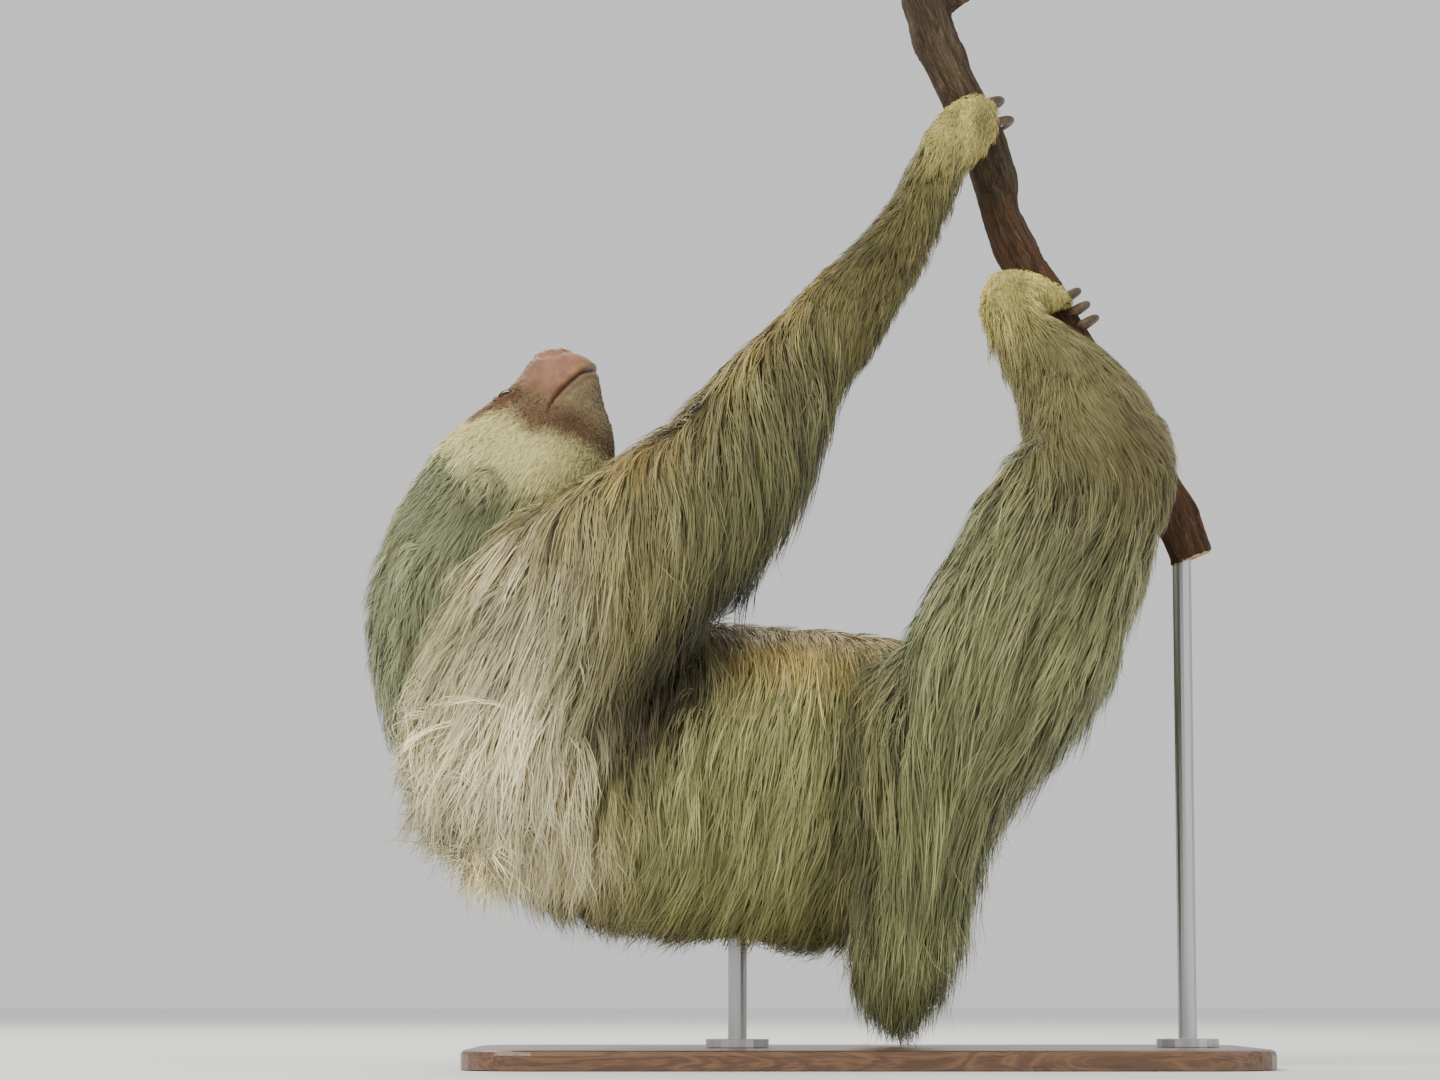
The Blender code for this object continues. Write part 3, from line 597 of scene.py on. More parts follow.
calm = spread(onHead | belongs("neck"), edges, 30)
mottle = roughness3d(points, 22.0, 3, 7.0)
fine = roughness3d(points, 110.0, 2, 2.0)
wobble = 0.004 * mottle + 0.003 * fine
colour = np.where(onHead[:, None], np.array(markings["nape"]), colour)
colour = spread(colour, edges, 110)
colour = np.where(onHead[:, None], np.array(markings["cream"]), colour)
colour = spread(colour, edges, 5)
nape = onHead * ease(back + 0.012 * mottle - 0.06 * np.clip(up, 0, 0.05), 0.084, 0.104)
edgeBack = np.interp(up, *np.array(maskEdge).T) + wobble
mask = onHead * (1 - ease(back, edgeBack - 0.006, edgeBack + 0.006))
streakGap = lineDistance(back, np.where(wide < 0.055, up - 0.22 * (0.028 - wide), 9.0), eyeStreak)
streakSize = 1 - 0.65 * ease(back, 0.056, 0.076)
streak = 1 - ease(streakGap + wobble, 0.0030 * streakSize, 0.0088 * streakSize)
streak *= onHead * ease(wide, 0.006, 0.014)
# the bridge, a pale wedge along the muzzle's top: cream fur, with a pale skin tone there that is partly a
# painted highlight
wedge = 0.0025 + 0.0115 * ease(back, 0.018, 0.046)
bridge = onHead * (1 - ease(wide + wobble, 0.35 * wedge, 1.6 * wedge))
bridge *= ease(up, 0.010, 0.018) * ease(back, 0.016, 0.024)
lower = ease(-up - 0.0075 - 0.15 * np.clip(0.016 - back, 0, 0.02), -0.0010, 0.0015)      # below the mouth
jawCorner = bell(back - 0.0393, 0.0085) * bell(up + 0.0230, 0.0095)
armTop = ease(normals[:, 2], 0.20, 0.75) * ease(-points[:, 1], 0.01, 0.05) * (1 - onHead)
armTop *= ease(points[:, 2], 0.27, 0.32) * (1 - ease(points[:, 0], -0.02, 0.06))
kneeAt = middle("shank_right") * 0.45 + np.array(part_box("thigh_right")[1]) * 0.55
knee = bell(np.linalg.norm((points - kneeAt) * (1, 0.5, 1), axis=1), 0.045)
colour = paint(
    colour, ("nape", nape), ("brown", np.maximum(mask * 0.88, streak * 0.92)), ("cream", bridge * 0.65),
    ("chin", 0.9 * onHead * lower * (1 - ease(back, 0.026, 0.044))), ("dark", onHead * jawCorner * 0.6),
    # the top of the belly's ridge is painted lighter, a painted highlight where light falls on it
    ("ridge", spread(ridge, edges, 4) * 0.80), ("paintedLitCrest", ease(spread(ridge, edges, 2), 0.45, 0.95) * 0.65),
    ("ridge", spread(armTop, edges, 3) * 0.20), ("knee", 0.6 * knee))
colour = colour * coatDim
onRight = ease(-points[:, 1], 0.03, 0.07) * (1 - calm) * (0.85 + 0.5 * mottle)
# pale hair on the right shoulder, made paler still as a painted patch of sunlight
for x, z, halfWidth, halfHeight, share in paleFurSunPatches:
    near = bell(points[:, 0] - x, halfWidth) * bell(points[:, 2] - z, halfHeight)
    colour = paint(colour, ("paleSunlitFur", share * near * onRight))
# painted shade: skin and coat are darkened along the folds
colour = paint(colour, ("shade", 0.85 * inFold))
speckle = 1 + (0.30 * mottle + 0.16 * fine) * (1 - 0.75 * calm) + 0.17 * wisps
colour = colour * np.clip(speckle, 0.5, 1.6)[:, None]

# the bare skin of nose, lips and lids
eyeGap = gapTo(points, eyePlaces)
bare = onHead * (1 - ease(back + wobble, 0.024, 0.042)) * (1 - 0.85 * bridge)
bare *= 1 - lower * ease(mouthGap + 0.3 * wobble, 0.0035, 0.0080)
bare = np.maximum(bare, onHead * (1 - ease(eyeGap, 0.0070, 0.0088)))
noseShare = (1 - ease(back + wobble, 0.010, 0.024)) * (1 - lower)
upperLip = (1 - lower) * bell(mouthGap - 0.0035, 0.0042)
blotch = 0.7 * mottle + 0.6 * fine
skinTone = np.tile(np.array(markings["bare"]), (len(points), 1))
skinTone = paint(
    skinTone, ("nose", noseShare * 0.9), ("lip", lower * (0.90 - 0.35 * ease(fine, 0.0, 0.5))),
    ("brown", 0.70 * upperLip * ease(back, 0.010, 0.026)),
    ("straw", 0.45 * upperLip * (1 - ease(back, 0.008, 0.016))),
    # the pale tone on the bridge is partly a painted highlight
    ("rim", 0.55 * bridge + 0.35 * ease(0.0080 - back, 0, 0.006) * lower),
    ("straw", 0.32 * ease(blotch, -0.15, 0.55) * ease(back, 0.006, 0.016) * (1 - lower)),
    ("brown", 0.35 * ease(-blotch, 0.0, 0.6) * ease(back, 0.014, 0.026)))
skinTone = skinTone * (1 + 0.24 * fine + 0.12 * mottle)[:, None]
skinTone = paint(skinTone, ("dark", np.maximum(jawCorner, 0.55 * ease(back, 0.024, 0.040))),
                 ("dark", 0.8 * onHead * (1 - ease(eyeGap, 0.0085, 0.0125)))) * coatDim
shortFur = 1 - ease(length, 0.014, 0.035)
under = colour * (0.62 + 0.30 * shortFur)[:, None]
# painted shade: the nostrils and the mouth's groove are darkened
paintedHoleShade = np.clip(nostril + fade * bell(mouthGap, 0.0010), 0, 1)
setAttribute(skin.data, "fur", "FLOAT_COLOR", np.c_[under, np.ones(len(points))])
setAttribute(skin.data, "bareTone", "FLOAT_COLOR", np.c_[skinTone, np.ones(len(points))])
setAttribute(skin.data, "bare", "FLOAT", bare)
setAttribute(skin.data, "hollow", "FLOAT", paintedHoleShade)

for layer in list(skin.data.uv_layers):
    skin.data.uv_layers.remove(layer)
skin.data.uv_layers.new(name="skinMap")
inEditMode(skin, lambda: bpy.ops.uv.smart_project(angle_limit=math.radians(66), island_margin=0.001))
skinUv = readAll(skin.data.uv_layers["skinMap"].data, "uv", 2)
print("markings and unwrap done")


# materials

class Shade:                     # a socket that takes part in sums
    def __init__(self, tree, socket):
        self.tree, self.socket = tree, socket

    def maths(self, kind, *values):
        made = self.tree.nodes.new("ShaderNodeMath")
        made.operation = kind
        for socket, value in zip(made.inputs, values or (self,)):
            feed(self.tree, socket, value)
        return Shade(self.tree, made.outputs[0])

    def __add__(self, other):
        return self.maths("ADD", self, other)

    def __sub__(self, other):
        return self.maths("SUBTRACT", self, other)

    def __rsub__(self, other):
        return self.maths("SUBTRACT", other, self)

    def __mul__(self, other):
        return self.maths("MULTIPLY", self, other)

    __radd__, __rmul__ = __add__, __mul__

    def between(self, low, high):            # 0 below low, 1 above high, eased
        made = self.tree.nodes.new("ShaderNodeMapRange")
        made.interpolation_type = "SMOOTHSTEP"
        feed(self.tree, made.inputs[0], self)
        made.inputs[1].default_value, made.inputs[2].default_value = low, high
        return Shade(self.tree, made.outputs[0])


def feed(tree, socket, value):
    if isinstance(value, Shade):
        tree.links.new(value.socket, socket)
    else:
        isColour = hasattr(value, "__len__") and len(socket.default_value) == 4
        socket.default_value = (*value, 1.0) if isColour else value


class Finish:                    # one material and the nodes that make it
    def __init__(self, name, **fixed):
        self.material = bpy.data.materials.new(name)
        self.material.use_nodes = True
        self.tree = self.material.node_tree
        self.shader = self.tree.nodes["Principled BSDF"]
        for key, value in fixed.items():
            feed(self.tree, self.shader.inputs[key], value)

    def node(self, kind, settings=None, inputs=None, output=0):
        made = self.tree.nodes.new("ShaderNode" + kind)
        for key, value in (settings or {}).items():
            if key == "stops":
                while len(made.color_ramp.elements) < len(value):
                    made.color_ramp.elements.new(0.5)
                for stop, (place, tone) in zip(made.color_ramp.elements, value):
                    stop.position, stop.color = place, (*tone, 1)
            else:
                setattr(made, key, value)
        for key, value in (inputs or {}).items():
            feed(self.tree, made.inputs[key], value)
        return Shade(self.tree, made.outputs[output])

    def attribute(self, name, output="Color"):
        return self.node("Attribute", {"attribute_name": name}, output=output)

    def place(self, scale=(1, 1, 1), where=None):
        where = where or self.node("TexCoord", output="Object")
        return self.node("Mapping", None, {0: where, "Scale": scale})

    def ramp(self, share, *stops):
        return self.node("ValToRGB", {"stops": stops}, {0: share})

    def noise(self, where, scale, detail=3.0, roughness=0.55, distortion=0.0):
        return self.node("TexNoise", None, {
            0: where, "Scale": scale, "Detail": detail, "Roughness": roughness, "Distortion": distortion})

    def mix(self, share, a, b, blend="MIX"):
        return self.node("Mix", {"data_type": "RGBA", "blend_type": blend}, {0: share, 6: a, 7: b}, 2)

    def tint(self, colour, amount):          # a colour made lighter or darker by a number
        return self.node("VectorMath", {"operation": "SCALE"}, {0: colour, 3: amount})

    def bump(self, height, strength, distance):
        return self.node("Bump", None, {"Height": height, "Strength": strength, "Distance": distance})

    def finish(self, **sockets):
        for key, value in sockets.items():
            feed(self.tree, self.shader.inputs[key.replace("_", " ")], value)
        return self.material


def coatFinish(name, rootShade, tipShade, spreadShade):
    m = Finish(name, **{"Specular IOR Level": 0.30, "Sheen Weight": 0.30, "Sheen Roughness": 0.45})
    tone, along = m.attribute("tone"), m.attribute("along", "Fac")
    own = m.attribute("tone", "Alpha")       # each hair's own number, 0 to 1
    light = along.between(0.0, 0.75) * (tipShade - rootShade) + rootShade
    light = light * (own * spreadShade + (1 - spreadShade / 2))
    warm = m.mix(0.5, tone, (0.9, 0.72, 0.42), "MULTIPLY")
    colour = m.mix((1 - along.between(0.1, 0.9)) * 0.55, m.tint(tone, light), m.tint(warm, light))
    bands = m.noise(m.place(), 55.0, 2.0)
    colour = m.tint(colour, bands * 0.30 + 0.85)
    return m.finish(Base_Color=colour, Roughness=0.50 + own * 0.2)


def skinFinish():
    m = Finish("bareSkin", **{"Specular IOR Level": 0.30})
    fur, bareTone = m.attribute("fur"), m.attribute("bareTone")
    bare, hollow = m.attribute("bare", "Fac"), m.attribute("hollow", "Fac")
    where = m.place()
    blotch = m.noise(where, 160.0, 4.0)
    pores = m.node("TexVoronoi", {"feature": "DISTANCE_TO_EDGE"}, {"Vector": where, "Scale": 900.0})
    creases = m.noise(where, 420.0, 3.0, 0.6, 0.6)
    skinColour = m.tint(bareTone, blotch * 0.55 + 0.72)
    furColour = m.tint(fur, m.noise(where, 300.0, 3.0) * 0.7 + 0.6)
    colour = m.mix(bare, furColour, skinColour)
    # painted shade in the nostrils and the mouth's groove
    colour = m.mix(hollow * 0.85, colour, (0.035, 0.018, 0.012))
    height = pores.between(0.0, 0.35) * 0.4 + creases * 0.8
    rough = 0.80 - bare * 0.22 + (blotch - 0.5) * 0.15
    return m.finish(Base_Color=colour, Roughness=rough, Normal=m.bump(height, 0.45, 0.0006))


def hornFinish():
    m = Finish("clawHorn", **{"Specular IOR Level": 0.28, "Coat Roughness": 0.3})
    streaks = m.noise(m.place((1, 0.25, 1)), 700.0, 4.0, 0.6)
    cloud = m.noise(m.place(), 90.0, 3.0)
    colour = m.ramp(streaks * 0.5 + cloud * 0.5, (0.30, (0.030, 0.019, 0.011)), (0.52, (0.105, 0.070, 0.038)),
                    (0.78, (0.26, 0.185, 0.110)))
    return m.finish(Base_Color=colour, Roughness=0.46 + streaks * 0.25, Coat_Weight=0.02 + 0.08 * cloud,
                    Normal=m.bump(streaks, 0.35, 0.0004))


def eyeFinish():
    m = Finish("eyeball", **{"Specular IOR Level": 0.15, "Coat Roughness": 0.02, "IOR": 1.38})
    ring = m.attribute("fromPupil", "Fac")
    spokes = m.noise(m.place(), 1400.0, 3.0)
    colour = m.ramp(ring + (spokes - 0.5) * 0.05, (0.0, (0.004, 0.003, 0.003)), (0.30, (0.005, 0.004, 0.003)),
                    (0.36, (0.075, 0.033, 0.013)), (0.60, (0.040, 0.018, 0.008)),
                    (0.70, (0.010, 0.006, 0.004)), (1.0, (0.05, 0.030, 0.020)))
    return m.finish(Base_Color=colour, Roughness=0.16 + 0.1 * ring, Coat_Weight=0.12 - 0.04 * ring)


def barkFinish():
    m = Finish("bark", **{"Specular IOR Level": 0.22})
    where = m.attribute("bark", "Vector")
    long = m.place((1, 1, 0.13), where)
    fibres = m.noise(long, 330.0, 6.0, 0.68, 0.5)
    ridges = m.noise(long, 120.0, 4.0, 0.6, 0.9)
    patches, grain = m.noise(where, 38.0, 4.0), m.noise(where, 900.0, 4.0, 0.7)
    cracks = 1 - (ridges - 0.5).maths("ABSOLUTE").between(0.0, 0.035)
    red = m.attribute("redness", "Fac")
    mixed = fibres * 0.7 + grain * 0.3
    brown = m.ramp(
        mixed, (0.30, (0.024, 0.016, 0.010)), (0.52, (0.072, 0.050, 0.029)), (0.72, (0.17, 0.125, 0.077)))
    rust = m.ramp(
        mixed, (0.30, (0.034, 0.015, 0.009)), (0.54, (0.100, 0.046, 0.024)), (0.76, (0.25, 0.130, 0.065)))
    share = (red + (patches - 0.5) * 1.8).between(0.20, 0.95)
    colour = m.mix(share, brown, rust)
    colour = m.mix(cracks * 0.42, colour, (0.016, 0.010, 0.006))
    moss = patches.between(0.58, 0.72) * (1 - red) * 0.5
    colour = m.mix(moss, colour, (0.085, 0.095, 0.035))
    height = fibres * 0.8 + ridges * 0.6 - cracks * 0.35 + grain * 0.15
    return m.finish(Base_Color=colour, Roughness=0.80 + grain * 0.18, Normal=m.bump(height, 0.9, 0.0026))


def cutWoodFinish():
    m = Finish("cutWood", **{"Specular IOR Level": 0.3})
    ring = m.attribute("bark", "Vector")
    reach = m.node("VectorMath", {"operation": "LENGTH"}, {0: m.place((1, 1, 0), ring)}, 1)
    rings = (reach * 4200.0 + m.noise(ring, 120.0) * 3.0).maths("SINE") * 0.5 + 0.5
    colour = m.mix(rings, (0.50, 0.35, 0.19), (0.30, 0.19, 0.10))
    return m.finish(Base_Color=colour, Roughness=0.8 - rings * 0.1, Normal=m.bump(rings, 0.3, 0.0005))


def baseFinish():
    m = Finish("baseWood", **{"Specular IOR Level": 0.45, "Coat Roughness": 0.18})
    where = m.place((1.0, 9.0, 9.0))
    figure = m.noise(where, 5.5, 4.0, 0.55, 1.6)
    lines = (figure * 55.0).maths("SINE") * 0.5 + 0.5
    pores = m.noise(m.place((6.0, 160.0, 160.0)), 5.0, 3.0, 0.7)
    colour = m.ramp(lines * 0.55 + figure * 0.45, (0.0, (0.062, 0.028, 0.013)), (0.5, (0.125, 0.060, 0.028)),
                    (1.0, (0.19, 0.100, 0.048)))
    colour = m.mix(pores.between(0.56, 0.70) * 0.6, colour, (0.030, 0.014, 0.008))
    return m.finish(Base_Color=colour, Roughness=0.42 - lines * 0.08, Coat_Weight=0.35 - 0.1 * pores,
                    Normal=m.bump(pores, 0.12, 0.0004))


def steelFinish():
    m = Finish("rodSteel", **{"Specular IOR Level": 0.5})
    brushed = m.noise(m.place((260.0, 260.0, 9.0)), 3.0, 4.0, 0.6)
    cloud = m.noise(m.place(), 30.0, 3.0)
    colour = m.mix(brushed, (0.38, 0.38, 0.39), (0.56, 0.56, 0.56))
    return m.finish(Base_Color=colour, Metallic=0.96 - cloud * 0.06, Normal=m.bump(brushed, 0.08, 0.0002),
                    Roughness=0.26 + brushed * 0.14 + cloud * 0.08)


finishes = {
    "long": coatFinish("longCoat", 0.76, 1.22, 0.38), "medium": coatFinish("middleCoat", 0.86, 1.12, 0.28),
    "short": coatFinish("shortFur", 0.95, 1.04, 0.15),
    "skin": skinFinish(), "horn": hornFinish(), "eye": eyeFinish(), "bark": barkFinish(),
    "cut": cutWoodFinish(), "base": baseFinish(), "steel": steelFinish(),
}


def dress(piece, *kinds):
    piece.data.materials.clear()
    for kind in kinds:
        piece.data.materials.append(finishes[kind])
    piece.data.shade_smooth()


dress(skin, "skin")

# the coat

coatSettings = {
    "long": {"locks": 11300, "hairs": 9, "rows": 5, "width": 0.00066, "spread": 0.0060, "lift": 0.26,
             "curl": 0.034, "frizz": 0.13, "streak": 0.17, "cream": 0.10, "clump": (0.05, 0.65)},
    "medium": {"locks": 11800, "hairs": 9, "rows": 4, "width": 0.00044, "spread": 0.0036, "lift": 0.24,
               "curl": 0.026, "frizz": 0.14, "streak": 0.09, "cream": 0.03, "clump": (0.0, 0.35)},
    "short": {"locks": 10200, "hairs": 8, "rows": 3, "width": 0.00033, "spread": 0.0024, "lift": 0.20,
              "curl": 0.030, "frizz": 0.20, "streak": 0.035, "cream": 0.0, "clump": (0.0, 0.20)},
    "longFrom": (0.040, 0.052), "shortBelow": (0.013, 0.018),
    "steps": 8, "mostTriangles": 190000, "patch": 0.003, "roundness": 0.62, "creamTone": (1.80, 1.60, 0.92),
    "pastLow": (0.012, 0.008, 0), "pastHigh": 0.008,         # how far tips may go past the CAD box
    "aboveWood": 0.001,
}
corners, loops = trianglesOf(skin)
skinTree = treeOf(points, corners)
area = np.linalg.norm(crossOf(points, corners), axis=1) / 2
coatNormal = unit(crossOf(coatPoints, coatTriangles))


def meanOf(values):
    return values[corners].mean(axis=1)


triLength, triBare = meanOf(length), meanOf(bare)
triFace = meanOf(onHead * (1 - ease(back, 0.050, 0.066)))
triNormal, triFlow = unit(meanOf(normals)), unit(meanOf(flow))


def scatter(weight, count):      # even, jittered places over the skin
    total = np.cumsum(weight)
    picks = (np.arange(count) + random.random(count)) / count * total[-1]
    chosen = np.minimum(np.searchsorted(total, picks), len(weight) - 1)
    r1, r2 = np.sqrt(random.random(count)), random.random(count)
    return chosen, np.stack((1 - r1, r1 * (1 - r2), r1 * r2), axis=1)


boxLow, boxHigh = np.array(cadBox)
tipLow, tipHigh = boxLow - coatSettings["pastLow"], boxHigh + coatSettings["pastHigh"]
tipLow[2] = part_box("stand_base")[1][2] + coatSettings["aboveWood"]       # the lowest tips rest on the wood


def growLocks(tri, share, own):
    def mix(values):
        return blend(values, corners[tri], share)
    count = len(tri)
    root, normal, here = mix(points), unit(mix(normals)), unit(mix(flow))
    size = mix(length) * random.uniform(0.62, 1.12, count)
    pull, loose, flat = mix(hang), mix(messy), 1 - 0.8 * mix(ridge)
    height = mix(depth) * random.uniform(0.40, 1.08, count)
    height *= np.clip(1 + 0.22 * mix(wisps), 0.5, 1.5)
    height *= 0.5 + 0.5 * flat
    turn = random.normal(0, own["frizz"], count) * (1 + 4.0 * loose)
    sideways = np.cross(normal, here)
    heading = unit(here * np.cos(turn)[:, None] + sideways * np.sin(turn)[:, None])
    lift = own["lift"] * flat * (1 + loose) * random.uniform(0.6, 1.4, count)
    heading = unit(heading + normal * np.tan(lift)[:, None])
    steps = coatSettings["steps"]
    step = (size / steps)[:, None]
    place, path, outs, ends = root.copy(), [root - normal * 0.0008], [normal], np.ones(count)
    slack = random.uniform(-0.002, 0.007, count) + loose * random.uniform(0, 0.020, count)
    fringe = ease(-normal[:, 2], 0.0, 0.6) * ease(root[:, 2], 0.10, 0.14) * ease(size, 0.04, 0.06)
    slack += fringe * random.uniform(0, 0.011, count)
    ended = np.zeros(count, bool)
    for k in range(1, steps + 1):
        t = k / steps
        sweep, sag = 0.30 * (1 - 0.8 * loose), 0.30 * t * pull
        heading = unit(heading + here * sweep[:, None] + down * sag[:, None])
        aim = place + heading * step
        spot, face = nearest(skinTree, aim)
        out = triNormal[face]
        lifted = dot(aim - spot, out)
        want = height * (1 - math.exp(-3.5 * t)) + 0.0003
        settle = np.clip(0.7 - 1.1 * np.maximum(dot(out, down), 0), 0, 0.7) * (1 - 0.7 * loose)
        aim += out * np.where(lifted < want, want - lifted, (want - lifted) * settle)[:, None]
        heading = unit(aim - place)
        place = place + heading * step
        here = triFlow[face]
        spot, face = nearest(coatTree, place)
        over = dot(place - spot, coatNormal[face]) > slack + 0.0005
        over |= ((place < boxLow - 0.004) | (place > boxHigh + 0.004)).any(1)
        newly = over & ~ended & (k > 2)
        ends = np.where(newly, (k - 0.5) / steps, ends)
        ended |= newly
        path.append(place)
        outs.append(out)
    return np.stack(path, 1), np.stack(outs, 1), ends, size, loose


def growHairs(path, outs, ends, size, loose, own):
    count, steps, hairs, rows = len(path), path.shape[1] - 1, own["hairs"], own["rows"]
    lock = np.repeat(np.arange(count), hairs)
    total = len(lock)
    run, out = unit(path[:, 2] - path[:, 0])[lock], outs[:, 0][lock]
    sideways = unit(np.cross(run, out))
    upward = np.cross(out, sideways)
    radius = own["spread"] * np.repeat(random.uniform(0.55, 1.45, count), hairs)
    radius = radius * np.sqrt(random.random(total))
    angle = random.uniform(0, 2 * math.pi, total)
    offset = sideways * (radius * np.cos(angle))[:, None] + upward * (radius * np.sin(angle))[:, None]
    stray = 1 + 2.2 * (random.random(total) < 0.07)
    tipDrift = random.normal(0, 1, (total, 3)) * (size[lock] * 0.030 * stray)[:, None]
    clump = np.repeat(random.uniform(*own["clump"], count) * (1 - loose) + 0.8 * loose, hairs)
    end = ends[lock] * random.uniform(0.62, 1.0, total)
    waveSize = size[lock] * own["curl"] * random.uniform(0.3, 1.6, total) * (1 + 1.6 * loose[lock])
    wavePhase = np.repeat(random.uniform(0, 6.3, count), hairs) + random.normal(0, 0.6, total)
    waveRate = np.repeat(random.uniform(3.0, 6.5, count), hairs)
    stops = np.linspace(0, 1, rows) ** 0.9
    centres, outRows = [], []
    for s in stops:
        t = end * s * steps
        low = np.minimum(t.astype(int), steps - 1)
        part = (t - low)[:, None]
        centre = path[lock, low] * (1 - part) + path[lock, low + 1] * part
        outRows.append(outs[lock, low] * (1 - part) + outs[lock, low + 1] * part)
        wave = waveSize * s * np.sin(wavePhase + waveRate * s)
        centre = centre + offset * (1 - clump * s)[:, None] + tipDrift * s * s
        centres.append(centre + sideways * wave[:, None])
    centres = np.clip(np.stack(centres, 1), tipLow, tipHigh)
    outRows = unit(np.stack(outRows, 1))
    tangent = unit(np.gradient(centres, axis=1))
    flat = unit(np.cross(tangent, outRows))
    lean = np.cross(flat, tangent)
    roll = random.uniform(-1.15, 1.15, total)[:, None, None]
    across = flat * np.cos(roll) + lean * np.sin(roll)
    rounded = coatSettings["roundness"] * (1 - 0.7 * ease(outRows[..., 2:], 0.1, 0.8))
    facing = unit(unit(np.cross(across, tangent)) * (1 - rounded) + outRows * rounded)
    profile = np.interp(stops, (0, 0.25, 0.6, 0.85, 1), (0.75, 1.0, 0.85, 0.5, 0.0))
    thickness = np.repeat(random.uniform(0.8, 1.2, count), hairs) * random.uniform(0.65, 1.3, total)
    return lock, centres, across, facing, own["width"] * thickness[:, None] * profile, stops


def hairMesh(name, hair, stops, material):
    centres, across, widths, facing = hair["centres"], hair["across"], hair["widths"], hair["facing"]
    total, rows = centres.shape[:2]
    left = centres[:, :-1] - across[:, :-1] * widths[:, :-1, None] / 2
    right = centres[:, :-1] + across[:, :-1] * widths[:, :-1, None] / 2
    pairs = np.stack((left, right), 2).reshape(total, -1, 3)
    verts = np.concatenate((pairs, centres[:, -1:]), 1)
    per = verts.shape[1]
    quads = [(2 * k, 2 * k + 1, 2 * k + 3, 2 * k + 2) for k in range(rows - 2)]
    tip = (2 * rows - 4, 2 * rows - 3, 2 * rows - 2)
    template = np.array([i for q in quads for i in q] + list(tip))
    faces = rows - 1
    sizes = np.array([4] * (rows - 2) + [3])
    loopVerts = (np.arange(total)[:, None] * per + template).ravel()
    mesh = bpy.data.meshes.new(name)
    mesh.vertices.add(total * per)
    mesh.vertices.foreach_set("co", verts.astype(np.float32).ravel())
    mesh.loops.add(len(loopVerts))
    mesh.loops.foreach_set("vertex_index", loopVerts.astype(np.int32))
    mesh.polygons.add(total * faces)
    starts = np.concatenate(([0], np.cumsum(np.tile(sizes, total))[:-1]))
    mesh.polygons.foreach_set("loop_start", starts.astype(np.int32))
    mesh.polygons.foreach_set("use_smooth", np.ones(total * faces, bool))
    mesh.update(calc_edges=True)
    alongVerts = np.tile(np.concatenate((np.repeat(stops[:-1], 2), stops[-1:])), total)
    tones = np.repeat(hair["tones"], per, axis=0)
    # hairs near the folds are darkened as painted shade
    tones[:, :3] *= 1 - foldSettings["paintedShade"] * foldShare(verts.reshape(-1, 3))[:, None]
    setAttribute(mesh, "tone", "FLOAT_COLOR", tones)
    setAttribute(mesh, "along", "FLOAT", alongVerts)
    edge = np.concatenate((np.tile((-0.42, 0.42), rows - 1), (0.0,)))
    patch = coatSettings["patch"]
    u = ((hair["order"][:, None] + 0.5 + edge) / hair["perLock"] - 0.5) * patch + hair["rootUv"][:, :1]
    v = (alongVerts.reshape(total, -1) - 0.5) * patch + hair["rootUv"][:, 1:]
    uv = np.clip(np.stack((u, v), 2).reshape(-1, 2), 0.0005, 0.9995)
    mesh.uv_layers.new(name="OFBake").data.foreach_set("uv", uv[loopVerts].astype(np.float32).ravel())
    mesh.materials.append(material)
    turned = np.concatenate((np.repeat(facing[:, :-1], 2, axis=1), facing[:, -1:]), 1).reshape(-1, 3)
    mesh.normals_split_custom_set_from_vertices(turned.astype(np.float32))
    return addObject(name, mesh)


regions = {                      # each piece of coat: its fur, and the nodes that it grows on
    "head": ("cream_fur", "head", "lower_jaw", "nose", "ear"),
    "neck": ("straw_fur", "neck"), "chest": ("straw_fur", "chest"),
    "belly": ("straw_fur", "belly"), "rump": ("straw_fur", "rump"),
}
limbParts = {"arm": ("shoulder", "upper_arm", "forearm", "hand"), "leg": ("haunch", "thigh", "shank", "foot")}
for limb, members in limbParts.items():
    for side in ("right", "left"):
        regions[f"{limb}_{side}"] = ("tan_fur", *(f"{member}_{side}" for member in members))
starts = [tuple(members) for _, *members in regions.values()]
nodeRegion = np.array([[name.startswith(start) for start in starts].index(True) for name in fleshNodes])
triRegion = nodeRegion[pointNode[corners[:, 0]]]


def makeCoat(kind, where):
    own = coatSettings[kind]
    locks, hairs = own["locks"], own["hairs"]
    notBare = np.clip(1.15 - 1.6 * triBare, 0, 1)
    tri, share = scatter(area * where * notBare * (1 + 1.4 * triFace), locks)
    path, outs, ends, size, loose = growLocks(tri, share, own)
    lock, centres, across, facing, widths, stops = growHairs(path, outs, ends, size, loose, own)
    tone = blend(colour, corners[tri], share)
    tone = tone * np.clip(1 + own["streak"] * random.normal(0, 1, locks), 0.5, 1.6)[:, None]
    cream = (random.random(locks) < own["cream"])[:, None] * 0.45
    tone = tone * (1 - cream) + cream * tone.mean(1, keepdims=True) * np.array(coatSettings["creamTone"])
    hair = {
        "centres": centres, "across": across, "widths": widths, "facing": facing,
        "tones": np.c_[tone[lock], random.random(len(lock))],
        "rootUv": blend(skinUv, loops[tri], share)[lock],
        "order": np.tile(np.arange(hairs), locks).astype(float),
    }
    home = triRegion[tri][lock]
    for index, region in enumerate(regions):
        mine = np.nonzero(home == index)[0]
        if not len(mine):
            continue
        mine = mine[np.argsort(centres[mine, 0, 0], kind="stable")]
        pieces = math.ceil(len(mine) * (2 * own["rows"] - 3) / coatSettings["mostTriangles"])
        for number, chosen in enumerate(np.array_split(mine, pieces)):
            name = f"coat_{kind}_{region}" + (f"_{number + 1}" if pieces > 1 else "")
            part = {key: values[chosen] for key, values in hair.items()}
            yield hairMesh(name, {**part, "perLock": hairs}, stops, finishes[kind]), region


